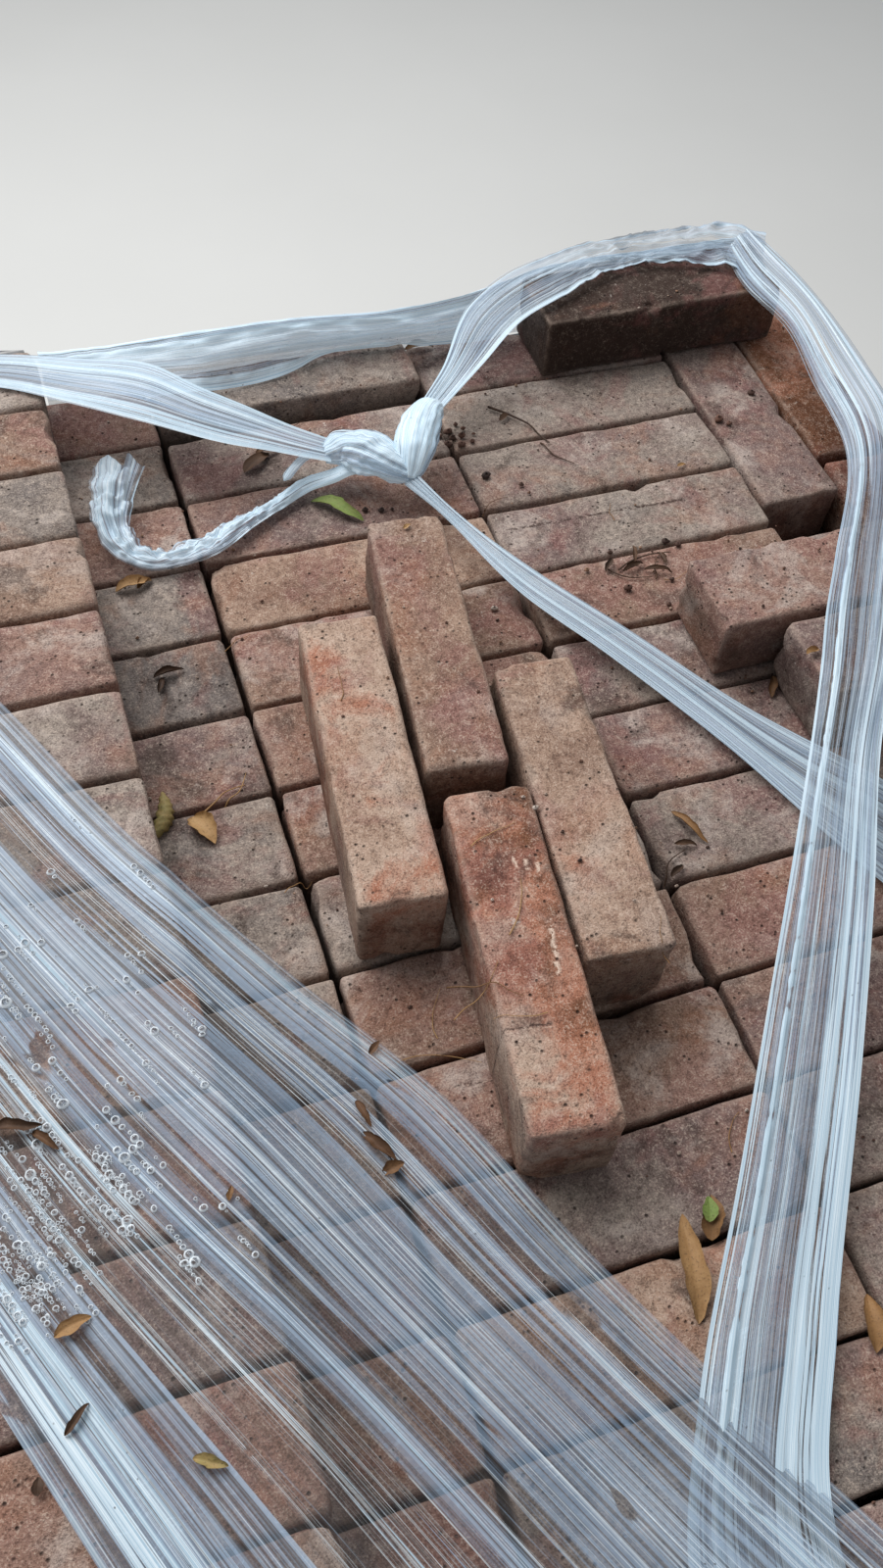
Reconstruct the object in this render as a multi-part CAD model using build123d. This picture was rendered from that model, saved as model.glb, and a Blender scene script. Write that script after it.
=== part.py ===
"""A part-used pallet of clay paving bricks, wrapped in stretch film.

Frame: X along the bricks of the main rows, Y away from the front of the pack, Z up.
The origin is on the floor under the middle of the pallet. All lengths are millimetres.

Every full course has four columns of bricks that run along X, stacked with straight joints, and
two columns that run along Y on one side. The side changes from course to course. The top full
course lies open, one part course is left on its left, and seven bricks lie loose on top.
"""
from build123d import *
import math
import os
import random

# Brick, lying flat
brick_length = 202.0
brick_width = 63.0
brick_height = 50.0
brick_edge = 2.5

# Pack
row_count = 16
column_count = 4
row_joint = 2.0
column_joint = 2.5
side_column_joint = 2.0
full_course_count = 14
joint_depth = 14.0

# Unevenness of the open courses
joint_wander = 0.6
brick_turn = 0.25
seed = 11

# Pallet, which stands out round the pack by its margins
deck_margin_side = 27.0
deck_margin_end = 21.0
deck_board_count = 7
deck_board_width = 118.0
deck_board_thick = 20.0
stringer_width = 100.0
stringer_thick = 20.0
block_length = 145.0
block_height = 80.0
skid_thick = 20.0
timber_edge = 2.0

# Stretch film: many turns lie on each other, so the plain solids are thicker than one turn
film_thick = 1.5
film_gap = 0.3
film_flare_height = 40.0
film_skirt = 32.0
back_rim_height = 40.0

# Wide band over the front left corner, its inner edge as (brick lengths, rows) from loose brick 3
corner_slope_run = 105.0
corner_band_width = 321.0
corner_band_foot = 15.5
corner_band_clear = 5.9
corner_band_back = 0.42
corner_band_side = 2.785
corner_band_inner = ((0.103, -0.69), (-0.115, 0.77), (-0.655, 3.33))

# Long band from the back right corner, its bend as (columns, rows) from the middle of the front
loose_clear = 2.0
band_clear = 1.0
side_band_width = 80.0
side_band_inset = 45.0
side_band_from_back = 3.98
side_band_bend = (0.147, 2.77)
side_band_lap = 40.0
side_band_lead = 6.0
side_band_drift = 18.0
edge_band_width = 32.0
edge_band_inset = 60.0

# Straps and the knot that ties them together
strap_rise = 26.0
strap_neck = 18.0
left_strap_width = 40.0
left_strap_inset = 10.0
left_strap_lap = 20.0
left_strap_fan = 62.0
back_strap_width = 30.0
back_strap_lap = 24.0
right_strap_width = 110.0
right_strap_clear = 31.0
right_strap_short = 1.26
knot_from_part_course = 222.5
knot_from_back = 2.14
knot_length = 78.0
knot_radius = 22.0
knot_neck = 8.0
knot_sides = 10
knot_turn = -35.0

# The knot's loose tail, its route and bends in tail widths from the knot
tail_width = 16.0
tail_height = 9.0
tail_route = ((-1.5, 1.125), (-3.875, -0.125), (-10.5, -2.19), (-12.375, 0.25), (-11.31, 4.375))
tail_bends = (0.875, 1.875, 1.625)

# Levels
pallet_height = skid_thick + block_height + stringer_thick + deck_board_thick
open_top = pallet_height + full_course_count * brick_height
part_top = open_top + brick_height

# Plan of the pack
main_width = column_count * brick_length + (column_count - 1) * column_joint
side_width = 2 * brick_width + side_column_joint
pack_width = main_width + column_joint + side_width
pack_length = row_count * brick_width + (row_count - 1) * row_joint
pallet_width = pack_width + 2 * deck_margin_side
pallet_length = pack_length + 2 * deck_margin_end
end_brick_count = int(pack_length // (brick_length + row_joint))
end_joint = (pack_length - end_brick_count * brick_length) / (end_brick_count - 1)
row_pitch = brick_width + row_joint
column_pitch = brick_length + column_joint
left = -pack_width / 2
right = pack_width / 2
front = -pack_length / 2
back = pack_length / 2
part_edge = left + side_width + column_joint + brick_length
knot_at = (part_edge + knot_from_part_course, back - knot_from_back * row_pitch)

# Heights of the film above the open course
over_open = 2.0
over_part = brick_height + film_gap
over_loose = brick_height + loose_clear
over_band = over_open + film_thick + band_clear
film_lowered = open_top - 2 * brick_edge


def block(width, length, height, edge):
    """One box-shaped piece with worn edges, standing on the plane z = 0."""
    body = Pos(0, 0, height / 2) * Box(width, length, height)
    return chamfer(body.edges(), edge)


def laid_brick():
    """A brick that lies flat along X."""
    return block(brick_length, brick_width, brick_height, brick_edge)


def brick_on_edge():
    """A brick along X that stands on its narrow long side."""
    return block(brick_length, brick_height, brick_width, brick_edge)


# Plan places of the bricks of one course

def main_column_x(column, mirrored):
    """Middle of one of the columns that run along X, counted from the left."""
    start = left + side_width + column_joint if mirrored else left
    return start + brick_length / 2 + column * column_pitch


def side_column_x(column, mirrored):
    """Middle of one of the two columns that run along Y, counted from the left."""
    start = left if mirrored else right - side_width
    return start + brick_width / 2 + column * (brick_width + side_column_joint)


def row_y(row):
    """Middle of a row, counted from the back."""
    return back - brick_width / 2 - row * row_pitch


def end_brick_y(place):
    """Middle of a brick of a side column, counted from the back."""
    return back - brick_length / 2 - place * (brick_length + end_joint)


# Closed courses, one solid each with the joints cut into its sides

def closed_course(mirrored):
    body = Pos(0, 0, brick_height / 2) * Box(pack_width, pack_length, brick_height)
    body = chamfer(body.faces().sort_by(Axis.Z)[-1].edges(), brick_edge)
    cutter_height = 2 * brick_height
    main_side = right if mirrored else left
    end_side = -main_side
    for row in range(row_count - 1):
        y = row_y(row) - row_pitch / 2
        body -= Pos(main_side, y, 0) * Box(2 * joint_depth, row_joint, cutter_height)
    for place in range(end_brick_count - 1):
        y = end_brick_y(place) - (brick_length + end_joint) / 2
        body -= Pos(end_side, y, 0) * Box(2 * joint_depth, end_joint, cutter_height)
    joints = [(main_column_x(column, mirrored) + column_pitch / 2, column_joint)
              for column in range(column_count - 1)]
    inner_side_x = side_column_x(1 if mirrored else 0, mirrored)
    toward_main = 1 if mirrored else -1
    joints.append((inner_side_x + toward_main * (brick_width + column_joint) / 2, column_joint))
    joints.append((side_column_x(0, mirrored) + (brick_width + side_column_joint) / 2, side_column_joint))
    for x, width in joints:
        for y in (front, back):
            body -= Pos(x, y, 0) * Box(width, 2 * joint_depth, cutter_height)
    return body


# Open courses, brick by brick

chance = random.Random(seed)


def inward(low, high, low_limit, high_limit):
    """How far a span moves to come back inside its limits."""
    return max(0.0, low_limit - low) - max(0.0, high - high_limit)


def place_brick(brick, x, y, turn=0.0):
    """Sets a brick down at (x, y), a little off its line but inside the pack's outline."""
    shift_x = chance.uniform(-joint_wander, joint_wander)
    shift_y = chance.uniform(-joint_wander, joint_wander)
    off = chance.uniform(-brick_turn, brick_turn)
    placed = Pos(x + shift_x, y + shift_y, 0) * Rot(0, 0, turn + off) * brick
    box = placed.bounding_box()
    move_x = inward(box.min.X, box.max.X, left, right)
    move_y = inward(box.min.Y, box.max.Y, front, back)
    return Pos(move_x, move_y, 0) * placed


# In the open course these bricks, as (column, row), stand on edge and reach higher
bricks_on_edge = ((2, 0),)

# A brick is missing from the inner side column, and the rest have slid: millimetres of each gap
slid_forward = 38.0
side_gap = 36.0


def open_course():
    flat = laid_brick()
    on_edge = brick_on_edge()
    bricks = []
    for column in range(column_count):
        x = main_column_x(column, False)
        for row in range(row_count):
            stands = (column, row) in bricks_on_edge
            bricks.append(place_brick(on_edge if stands else flat, x, row_y(row)))
    for place in range(end_brick_count):
        bricks.append(place_brick(flat, side_column_x(1, False), end_brick_y(place), 90))
    first_y = end_brick_y(0) - slid_forward
    inner_y = [first_y]
    for place in range(1, end_brick_count - 1):
        inner_y.append(first_y - side_gap - place * (brick_length + row_joint))
    for y in inner_y:
        bricks.append(place_brick(flat, side_column_x(0, False), y, 90))
    return bricks


def part_course():
    """What is left of the next course: its two side columns and the first main column."""
    flat = laid_brick()
    bricks = []
    for column in (0, 1):
        for place in range(end_brick_count):
            bricks.append(place_brick(flat, side_column_x(column, True), end_brick_y(place), 90))
    for row in range(row_count):
        bricks.append(place_brick(flat, main_column_x(0, True), row_y(row)))
    return bricks


# Loose bricks on edge, as (brick heights to the right, brick lengths to the back, angle from X),
# counted from the pack's middle
loose_on_edge = {
    "loose_brick_1": (0.93, 0.856, 82.9),
    "loose_brick_2": (-0.34, 0.493, 83.9),
    "loose_brick_3": (0.52, -0.218, 83.2),
    "loose_brick_4": (1.73, 0.183, 84.3),
}
# Loose bricks that lie flat, as (brick lengths from the right side, rows from the back, angle)
loose_flat = {
    "loose_brick_5": (0.683, 0.508, 0.4),
    "loose_brick_6": (0.693, 5.385, 0.0),
    "loose_brick_7": (0.5, 6.4, 1.0),
}


def loose_place(name):
    """Plan place and turn of a loose brick."""
    if name in loose_on_edge:
        heights, lengths, turn = loose_on_edge[name]
        return heights * brick_height, lengths * brick_length, turn
    lengths, rows, turn = loose_flat[name]
    return right - lengths * brick_length, back - rows * row_pitch, turn


def loose_bricks():
    pieces = {}
    for names, form in ((loose_on_edge, brick_on_edge()), (loose_flat, laid_brick())):
        for name in names:
            x, y, turn = loose_place(name)
            pieces[name] = Pos(x, y, 0) * Rot(0, 0, turn) * form
    return pieces


# Pallet

def timber(width, length, height, grain):
    """A sawn piece, its edges along the grain a little worn."""
    body = Pos(0, 0, height / 2) * Box(width, length, height)
    return chamfer(body.edges().filter_by(grain), timber_edge)


def deck_board_y(index):
    return -pallet_length / 2 + deck_board_width / 2 + index * deck_board_pitch


deck_board_pitch = (pallet_length - deck_board_width) / (deck_board_count - 1)
runner_x = (-(pallet_width - stringer_width) / 2, 0.0, (pallet_width - stringer_width) / 2)
block_y = (-(pallet_length - block_length) / 2, 0.0, (pallet_length - block_length) / 2)


def pallet_pieces():
    pieces = {}
    skid = timber(stringer_width, pallet_length, skid_thick, Axis.Y)
    stringer = timber(stringer_width, pallet_length, stringer_thick, Axis.Y)
    deck = timber(pallet_width, deck_board_width, deck_board_thick, Axis.X)
    spacer = timber(stringer_width, block_length, block_height, Axis.Z)
    block_bottom = skid_thick
    stringer_bottom = block_bottom + block_height
    deck_bottom = stringer_bottom + stringer_thick
    for i, x in enumerate(runner_x):
        pieces[f"skid_{i + 1}"] = Pos(x, 0, 0) * skid
        pieces[f"stringer_board_{i + 1}"] = Pos(x, 0, stringer_bottom) * stringer
        for j, y in enumerate(block_y):
            pieces[f"pallet_block_{3 * i + j + 1}"] = Pos(x, y, block_bottom) * spacer
    for i in range(deck_board_count):
        pieces[f"deck_board_{i + 1}"] = Pos(0, deck_board_y(i), deck_bottom) * deck
    return pieces


# Stretch film round the pack

def film_form(grow, top):
    """The pack's and the pallet's outside, grown all round, as the film lies on them."""
    skirt_bottom = pallet_height - film_skirt
    flare_top = pallet_height + film_flare_height
    over_deck = Rectangle(pallet_width + 2 * grow, pallet_length + 2 * grow)
    round_pack = Rectangle(pack_width + 2 * grow, pack_length + 2 * grow)
    skirt = extrude(Pos(0, 0, skirt_bottom) * over_deck, film_skirt)
    flare = loft([Pos(0, 0, pallet_height) * over_deck, Pos(0, 0, flare_top) * round_pack])
    wall = extrude(Pos(0, 0, flare_top) * round_pack, top - flare_top)
    return skirt + flare + wall


def film_wrap():
    """Film round the four sides, as high as the bricks behind it."""
    skin = film_form(film_gap + film_thick, part_top) - film_form(film_gap, part_top)
    cut = Box(pallet_width, 2 * pallet_length, 2 * brick_height, align=(Align.MIN, Align.CENTER, Align.MIN))
    return skin - Pos(part_edge, 0, film_lowered) * cut


def film_back_rim():
    """Film that still stands up along the back, where the course behind it has gone."""
    start = part_edge + film_gap
    end = loose_place("loose_brick_5")[0] + brick_length / 2
    bottom = film_lowered + film_gap
    rim = Box(end - start, film_thick, open_top + back_rim_height - bottom,
              align=(Align.MIN, Align.MIN, Align.MIN))
    return Pos(start, back + film_gap, bottom) * rim


# Film bands and straps across the top

def profile_face(rises):
    """The upright face between an underside, given as (run, height) pairs, and its top."""
    over = [(s, z + film_thick) for s, z in reversed(rises)]
    return make_face(Polyline(*rises, *over, close=True))


def strip(start, end, rises, width_start, width_end):
    """A flat taut strip between two plan points, its underside given as (run, height) pairs."""
    run = Vector(end[0] - start[0], end[1] - start[1], 0)
    along = run.normalized()
    across = Vector(0, 0, 1).cross(along)
    side = Plane(origin=(start[0], start[1], open_top), x_dir=along, z_dir=-across)
    body = extrude(side * profile_face(rises), max(width_start, width_end), both=True)
    plan = Plane(origin=(start[0], start[1], open_top - brick_height), x_dir=along, z_dir=(0, 0, 1))
    shape = make_face(Polyline((0, -width_start / 2), (run.length, -width_end / 2),
                               (run.length, width_end / 2), (0, width_start / 2), close=True))
    return body & extrude(plan * shape, 4 * brick_height)


def pack_prism():
    """The space above the pack, which trims what lies on top of it."""
    return Pos(0, 0, open_top) * Box(pack_width, pack_length, 4 * brick_height)


def film_corner_band():
    """The wide band lies on the part course, comes down its edge and crosses to the front."""
    rises = ((left, over_part), (part_edge + 2 * brick_edge, over_part),
             (part_edge + corner_slope_run, over_open), (right, over_open))
    side = Plane(origin=(0, 0, open_top), x_dir=(1, 0, 0), z_dir=(0, -1, 0))
    sheet = extrude(side * profile_face(rises), pack_length, both=True)
    x, y, turn = loose_place("loose_brick_3")
    brick_corner = Pos(x, y) * Rot(0, 0, turn) * Pos(-brick_length / 2, brick_height / 2)
    beside = brick_corner.position - Vector(corner_band_clear, 0)
    inner_edge = [(beside.X + lengths * brick_length, beside.Y + rows * row_pitch)
                  for lengths, rows in corner_band_inner]
    outline = ((left + corner_band_back * brick_length, back), (left, back),
               (left, back - corner_band_side * row_pitch), (part_edge + corner_band_foot, front),
               (part_edge + corner_band_foot + corner_band_width, front))
    plan = Pos(0, 0, open_top) * make_face(Polyline(*outline, *inner_edge, close=True))
    return sheet & extrude(plan, 2 * brick_height)


def film_side_band():
    """The long band is pulled tight from the corner brick over two loose bricks, then down to the front."""
    edge_x = right - edge_band_inset
    edge_top = back - film_gap
    start = (right - side_band_inset, back - side_band_from_back * row_pitch)
    bend = (side_band_bend[0] * column_pitch, front + side_band_bend[1] * row_pitch)
    edge_run = edge_top - start[1] + side_band_lap
    along_edge = strip((edge_x, edge_top), (edge_x, edge_top - edge_run),
                       ((0, over_loose), (edge_run, over_loose)), edge_band_width, edge_band_width)
    run = math.dist(start, bend)
    forward = start[1] - bend[1]
    lead = side_band_width / 2 * (start[0] - bend[0]) / forward + side_band_lead
    brick_ahead = loose_place("loose_brick_7")[1] - brick_width / 2
    down = (start[1] - brick_ahead) / forward * run + lead
    crossing = strip(start, bend, ((0, over_loose), (down, over_loose),
                                   (run - side_band_lap / 2, over_band), (run, over_band)),
                     side_band_width, side_band_width)
    last_run = bend[1] + side_band_width / 2 - front
    to_front = strip((bend[0], front + last_run), (bend[0] - side_band_drift, front),
                     ((0, over_band), (last_run, over_band)), side_band_width, side_band_width)
    return (along_edge + crossing + to_front) & pack_prism()


def knot_form(grow):
    """A many-sided barrel with sloping shoulders."""
    radius = knot_radius + grow
    side = RegularPolygon(radius, knot_sides, major_radius=False)
    barrel = extrude(Plane.YZ * side, knot_length / 2 + grow, both=True)
    ends = barrel.faces().sort_by(Axis.X)
    barrel = chamfer(ends[0].edges() + ends[-1].edges(), knot_radius - knot_neck)
    lying = Pos(knot_at[0], knot_at[1], open_top + knot_radius + film_thick)
    return lying * Rot(0, 0, knot_turn) * barrel


def film_left_strap():
    """It lies on the back row of the part course and drops from there to the knot."""
    height = over_part + film_thick + film_gap
    lying_y = back - left_strap_width / 2 - left_strap_inset
    flat_end = part_edge - left_strap_lap
    lying = strip((left, lying_y), (flat_end, lying_y), ((0, height), (flat_end - left, height)),
                  left_strap_width, left_strap_width)
    start = (flat_end - left_strap_fan / 2, lying_y)
    run = math.dist(start, knot_at)
    flat_run = part_edge - start[0]
    taut = strip(start, knot_at, ((0, height), (flat_run, height), (run, strap_rise)),
                 left_strap_fan, strap_neck)
    return (lying + taut) - knot_form(film_gap)


def film_back_strap():
    """It rises to the loose brick at the back and lies along its far edge."""
    brick_x, brick_y, _ = loose_place("loose_brick_5")
    rear_y = brick_y + brick_width / 2 - back_strap_width / 2
    near = (brick_x - brick_length / 2 + back_strap_lap, rear_y)
    height = brick_height + film_gap
    run = math.dist(knot_at, near)
    taut = strip(knot_at, near, ((0, strap_rise), (run - 1.5 * back_strap_lap, height), (run, height)),
                 strap_neck, back_strap_width)
    far_x = right - edge_band_inset - edge_band_width / 2 - 2 * film_gap
    lying = strip((near[0] - back_strap_lap / 2, rear_y), (far_x, rear_y),
                  ((0, height), (far_x - near[0] + back_strap_lap / 2, height)),
                  back_strap_width, back_strap_width)
    return (taut + lying) - knot_form(film_gap)


def film_right_strap():
    """It widens past the loose bricks at the right, down to the front right edge."""
    x, y, _ = loose_place("loose_brick_6")
    beside = (x - brick_length / 2 - right_strap_clear, y - brick_width / 2)
    reach = (knot_at[1] - front - right_strap_short * row_pitch) / (knot_at[1] - beside[1])
    end = (knot_at[0] + reach * (beside[0] - knot_at[0]), knot_at[1] + reach * (beside[1] - knot_at[1]))
    run = math.dist(knot_at, end)
    taut = strip(knot_at, end, ((0, strap_rise), (run, over_open + film_thick)),
                 strap_neck, right_strap_width)
    return (taut & pack_prism()) - knot_form(film_gap)


def film_tail():
    """The loose end of the tie, lying on the bricks in a hook."""
    route = [(knot_at[0] + x * tail_width, knot_at[1] + y * tail_width) for x, y in tail_route]
    path = FilletPolyline(*route, radius=[bend * tail_width for bend in tail_bends])
    ribbon = extrude(trace(path, tail_width), tail_height)
    return Pos(0, 0, open_top + over_open) * ribbon - knot_form(film_gap)


# Every piece by name

def all_pieces():
    pieces = pallet_pieces()
    for course in range(full_course_count - 1):
        mirrored = (full_course_count - 1 - course) % 2 == 1
        z = pallet_height + course * brick_height
        pieces[f"brick_course_{course + 1:02d}"] = Pos(0, 0, z) * closed[mirrored]
    open_bottom = open_top - brick_height
    pieces[f"brick_course_{full_course_count:02d}"] = Pos(0, 0, open_bottom) * Compound(open_course())
    pieces[f"brick_course_{full_course_count + 1:02d}"] = Pos(0, 0, open_top) * Compound(part_course())
    for name, brick in loose_bricks().items():
        pieces[name] = Pos(0, 0, open_top) * brick
    for make in (film_wrap, film_back_rim, film_corner_band, film_side_band, film_left_strap,
                 film_back_strap, film_right_strap, film_tail):
        pieces[make.__name__] = make()
    pieces["film_knot"] = knot_form(0)
    return pieces


closed = {mirrored: closed_course(mirrored) for mirrored in (False, True)}
os.makedirs("parts", exist_ok=True)
for name, piece in all_pieces().items():
    export_step(piece, f"parts/{name}.step")
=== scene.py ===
"""The looks of a part-used pallet of clay paving bricks in stretch film, in metres."""
import math

import bmesh
import bpy
import numpy as np
from mathutils import Matrix, Vector


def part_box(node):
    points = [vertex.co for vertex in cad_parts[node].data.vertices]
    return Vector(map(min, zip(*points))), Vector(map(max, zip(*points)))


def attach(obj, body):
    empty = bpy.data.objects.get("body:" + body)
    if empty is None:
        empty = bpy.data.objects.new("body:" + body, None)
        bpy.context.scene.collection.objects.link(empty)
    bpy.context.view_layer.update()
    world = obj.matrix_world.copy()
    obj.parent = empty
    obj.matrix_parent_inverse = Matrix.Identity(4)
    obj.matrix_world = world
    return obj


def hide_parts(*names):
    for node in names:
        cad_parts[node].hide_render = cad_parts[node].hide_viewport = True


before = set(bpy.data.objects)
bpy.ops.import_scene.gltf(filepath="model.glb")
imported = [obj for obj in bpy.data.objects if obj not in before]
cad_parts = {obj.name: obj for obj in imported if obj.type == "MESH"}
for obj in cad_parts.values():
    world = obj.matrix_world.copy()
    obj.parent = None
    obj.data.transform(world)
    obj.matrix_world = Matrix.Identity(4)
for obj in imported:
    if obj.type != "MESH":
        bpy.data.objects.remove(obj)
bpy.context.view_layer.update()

MM = 0.001

# Levels and edges, read from the frame
board_low, board_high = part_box("deck_board_1")
course_low, course_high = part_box("brick_course_01")
part_low, part_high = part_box("brick_course_15")
deck_top, open_top, part_top = board_high.z, part_low.z, part_high.z
brick_high = course_high.z - course_low.z
left, right, front, back = course_low.x, course_high.x, course_low.y, course_high.y
deck_left, deck_right, deck_front = board_low.x, board_high.x, board_low.y
deck_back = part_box("deck_board_7")[1].y
part_edge = part_high.x

# The photograph's camera, its lens in pixels of a picture this high
eye = Vector((-0.160, -0.329, open_top + 0.670))
yaw, pitch, roll = (math.radians(a) for a in (23.92, 54.62, 6.33))
lens_pixels, picture_height = 1366, 1600
sensor_size = 36.0


def shown(name, data):
    """A new object of the scene."""
    made = bpy.data.objects.new(name, data)
    bpy.context.scene.collection.objects.link(made)
    return made


def add_camera():
    ahead = Vector((math.sin(yaw) * math.cos(pitch), math.cos(yaw) * math.cos(pitch), -math.sin(pitch)))
    level = Vector((math.cos(yaw), -math.sin(yaw), 0))
    up = level.cross(ahead)
    across = math.cos(roll) * level + math.sin(roll) * up
    upright = -math.sin(roll) * level + math.cos(roll) * up
    data = bpy.data.cameras.new("camera")
    data.sensor_width = sensor_size
    data.lens = lens_pixels / picture_height * sensor_size
    data.clip_start = 0.01
    camera = shown("camera", data)
    camera.matrix_world = Matrix.Translation(eye) @ Matrix((across, upright, -ahead)).transposed().to_4x4()
    bpy.context.scene.camera = camera


# Node graphs

class Value:
    """A node's output that can stand in sums. Each sum adds its Math nodes."""

    def __init__(self, graph, socket):
        self.graph = graph
        self.socket = socket

    def _with(self, operation, *values):
        return self.graph.node("ShaderNodeMath", {"operation": operation}, dict(enumerate(values)))

    def __add__(self, other):
        return self._with("ADD", self, other)

    def __sub__(self, other):
        return self._with("SUBTRACT", self, other)

    def __rsub__(self, other):
        return self._with("SUBTRACT", other, self)

    def __mul__(self, other):
        return self._with("MULTIPLY", self, other)

    def clamp(self, low=0.0, high=1.0):
        return self._with("MAXIMUM", self._with("MINIMUM", self, high), low)

    def line(self, centre, thin):
        """1 where the value passes a centre, and 0 a little to each side."""
        away = self._with("ABSOLUTE", self - centre)
        return (1 - away * thin).clamp()

    def between(self, low, high):
        """0 at low and 1 at high, smoothly."""
        settings = {"interpolation_type": "SMOOTHSTEP"}
        sockets = {"Value": self, "From Min": low, "From Max": high}
        return self.graph.node("ShaderNodeMapRange", settings, sockets)

    __radd__ = __add__
    __rmul__ = __mul__


class Graph:
    """A node tree, of a material or of a shape."""

    def __init__(self, tree):
        self.tree = tree
        self.tree.nodes.clear()

    def node(self, kind, settings=None, sockets=None, output=0):
        """Adds a node: its settings first, a ramp's stops among them, then its sockets' values or links."""
        made = self.tree.nodes.new(kind)
        for name, value in (settings or {}).items():
            if name == "stops":
                elements = made.color_ramp.elements
                while len(elements) < len(value):
                    elements.new(0.5)
                for element, (place, colour) in zip(elements, value):
                    element.position = place
                    element.color = colour
            else:
                setattr(made, name, value)
        for name, value in (sockets or {}).items():
            if isinstance(value, Value):
                self.tree.links.new(value.socket, made.inputs[name])
            else:
                made.inputs[name].default_value = value
        return Value(self, made.outputs[output])


class Shader(Graph):
    """One material."""

    def __init__(self, name):
        self.material = bpy.data.materials.new(name)
        self.material.use_nodes = True
        super().__init__(self.material.node_tree)

    def attribute(self, name, output="Fac"):
        return self.node("ShaderNodeAttribute", {"attribute_name": name}, output=output)

    def place(self):
        """Where a point is in the piece's own space, which is the frame's."""
        return self.node("ShaderNodeTexCoord", output="Object")

    def stretched(self, vector, scale=(1, 1, 1), shift=(0, 0, 0)):
        sockets = {"Vector": vector, "Scale": scale, "Location": shift}
        return self.node("ShaderNodeMapping", None, sockets)

    def noise(self, vector, scale, detail=2.0, roughness=0.5, distortion=0.0):
        sockets = {"Vector": vector, "Scale": scale, "Detail": detail,
                   "Roughness": roughness, "Distortion": distortion}
        return self.node("ShaderNodeTexNoise", None, sockets)

    def spots(self, vector, scale):
        return self.node("ShaderNodeTexVoronoi", None, {"Vector": vector, "Scale": scale})

    def ramp(self, value, *stops):
        """A colour by a value, from stops of a place and a screen colour."""
        stops = [(place, rgb(*colour)) for place, *colour in stops]
        return self.node("ShaderNodeValToRGB", {"stops": stops}, {"Fac": value})

    def mix(self, factor, a, b):
        """A colour between a and b."""
        return self.node("ShaderNodeMix", {"data_type": "RGBA"}, {0: factor, 6: a, 7: b}, output=2)

    def laid_over(self, colour, *layers):
        """A colour with screen colours laid over it in turn, each with how much of it there is."""
        for share, *tint in layers:
            colour = self.mix(share, colour, rgb(*tint))
        return colour

    def reach(self, vector, direction):
        """How far a place lies in a direction."""
        sockets = {0: vector, 1: direction}
        return self.node("ShaderNodeVectorMath", {"operation": "DOT_PRODUCT"}, sockets, "Value")

    def bump(self, height, distance, strength=1.0):
        sockets = {"Height": height, "Distance": distance, "Strength": strength}
        return self.node("ShaderNodeBump", None, sockets)

    def finish(self, **sockets):
        """Ends the tree in one Principled BSDF."""
        named = {name.replace("_", " "): value for name, value in sockets.items()}
        surface = self.node("ShaderNodeBsdfPrincipled", None, named)
        output = self.tree.nodes.new("ShaderNodeOutputMaterial")
        self.tree.links.new(surface.socket, output.inputs["Surface"])
        return self.material


class Repeat(Graph):
    """A geometry tree that sets copies of a form on points."""

    def __init__(self, name, **inputs):
        super().__init__(bpy.data.node_groups.new(name, "GeometryNodeTree"))
        face = self.tree.interface
        face.new_socket("Geometry", in_out="OUTPUT", socket_type="NodeSocketGeometry")
        face.new_socket("Geometry", in_out="INPUT", socket_type="NodeSocketGeometry")
        self.keys = {}
        for title, kind in inputs.items():
            made = face.new_socket(title, in_out="INPUT", socket_type="NodeSocket" + kind)
            self.keys[title] = made.identifier
        self.entry = self.tree.nodes.new("NodeGroupInput")

    def input(self, title):
        return Value(self, self.entry.outputs[title])

    def jitter(self, reach):
        """Random vectors in X and Y, by the input Seed."""
        low, high = (self.node("ShaderNodeCombineXYZ", None, dict.fromkeys("XY", end))
                     for end in (reach * -1.0, reach))
        return self.node("FunctionNodeRandomValue", {"data_type": "FLOAT_VECTOR"},
                         {"Min": low, "Max": high, "Seed": self.input("Seed")})

    def finish(self, geometry, material):
        """Ends in real geometry with its material."""
        real = self.node("GeometryNodeRealizeInstances", None, {"Geometry": geometry})
        done = self.node("GeometryNodeSetMaterial", None, {"Geometry": real, "Material": material})
        output = self.tree.nodes.new("NodeGroupOutput")
        self.tree.links.new(done.socket, output.inputs[0])

    def grow(self, name, base, **values):
        """The tree's result on a mesh object, as a plain mesh object of its own."""
        modifier = base.modifiers.new("repeat", "NODES")
        modifier.node_group = self.tree
        for title, value in values.items():
            modifier[self.keys[title]] = value
        graph = bpy.context.evaluated_depsgraph_get()
        mesh = bpy.data.meshes.new_from_object(base.evaluated_get(graph))
        base.modifiers.remove(modifier)
        bpy.data.objects.remove(base)
        mesh.name = name
        return shown(name, mesh)


def rgb(red, green, blue):
    """A colour given as it looks on a screen, from 0 to 255, in the linear light that nodes take."""
    def linear(value):
        share = value / 255
        return share / 12.92 if share <= 0.04045 else ((share + 0.055) / 1.055) ** 2.4
    return (linear(red), linear(green), linear(blue), 1.0)


# Numbers that vary smoothly over space, for the shapes

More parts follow.
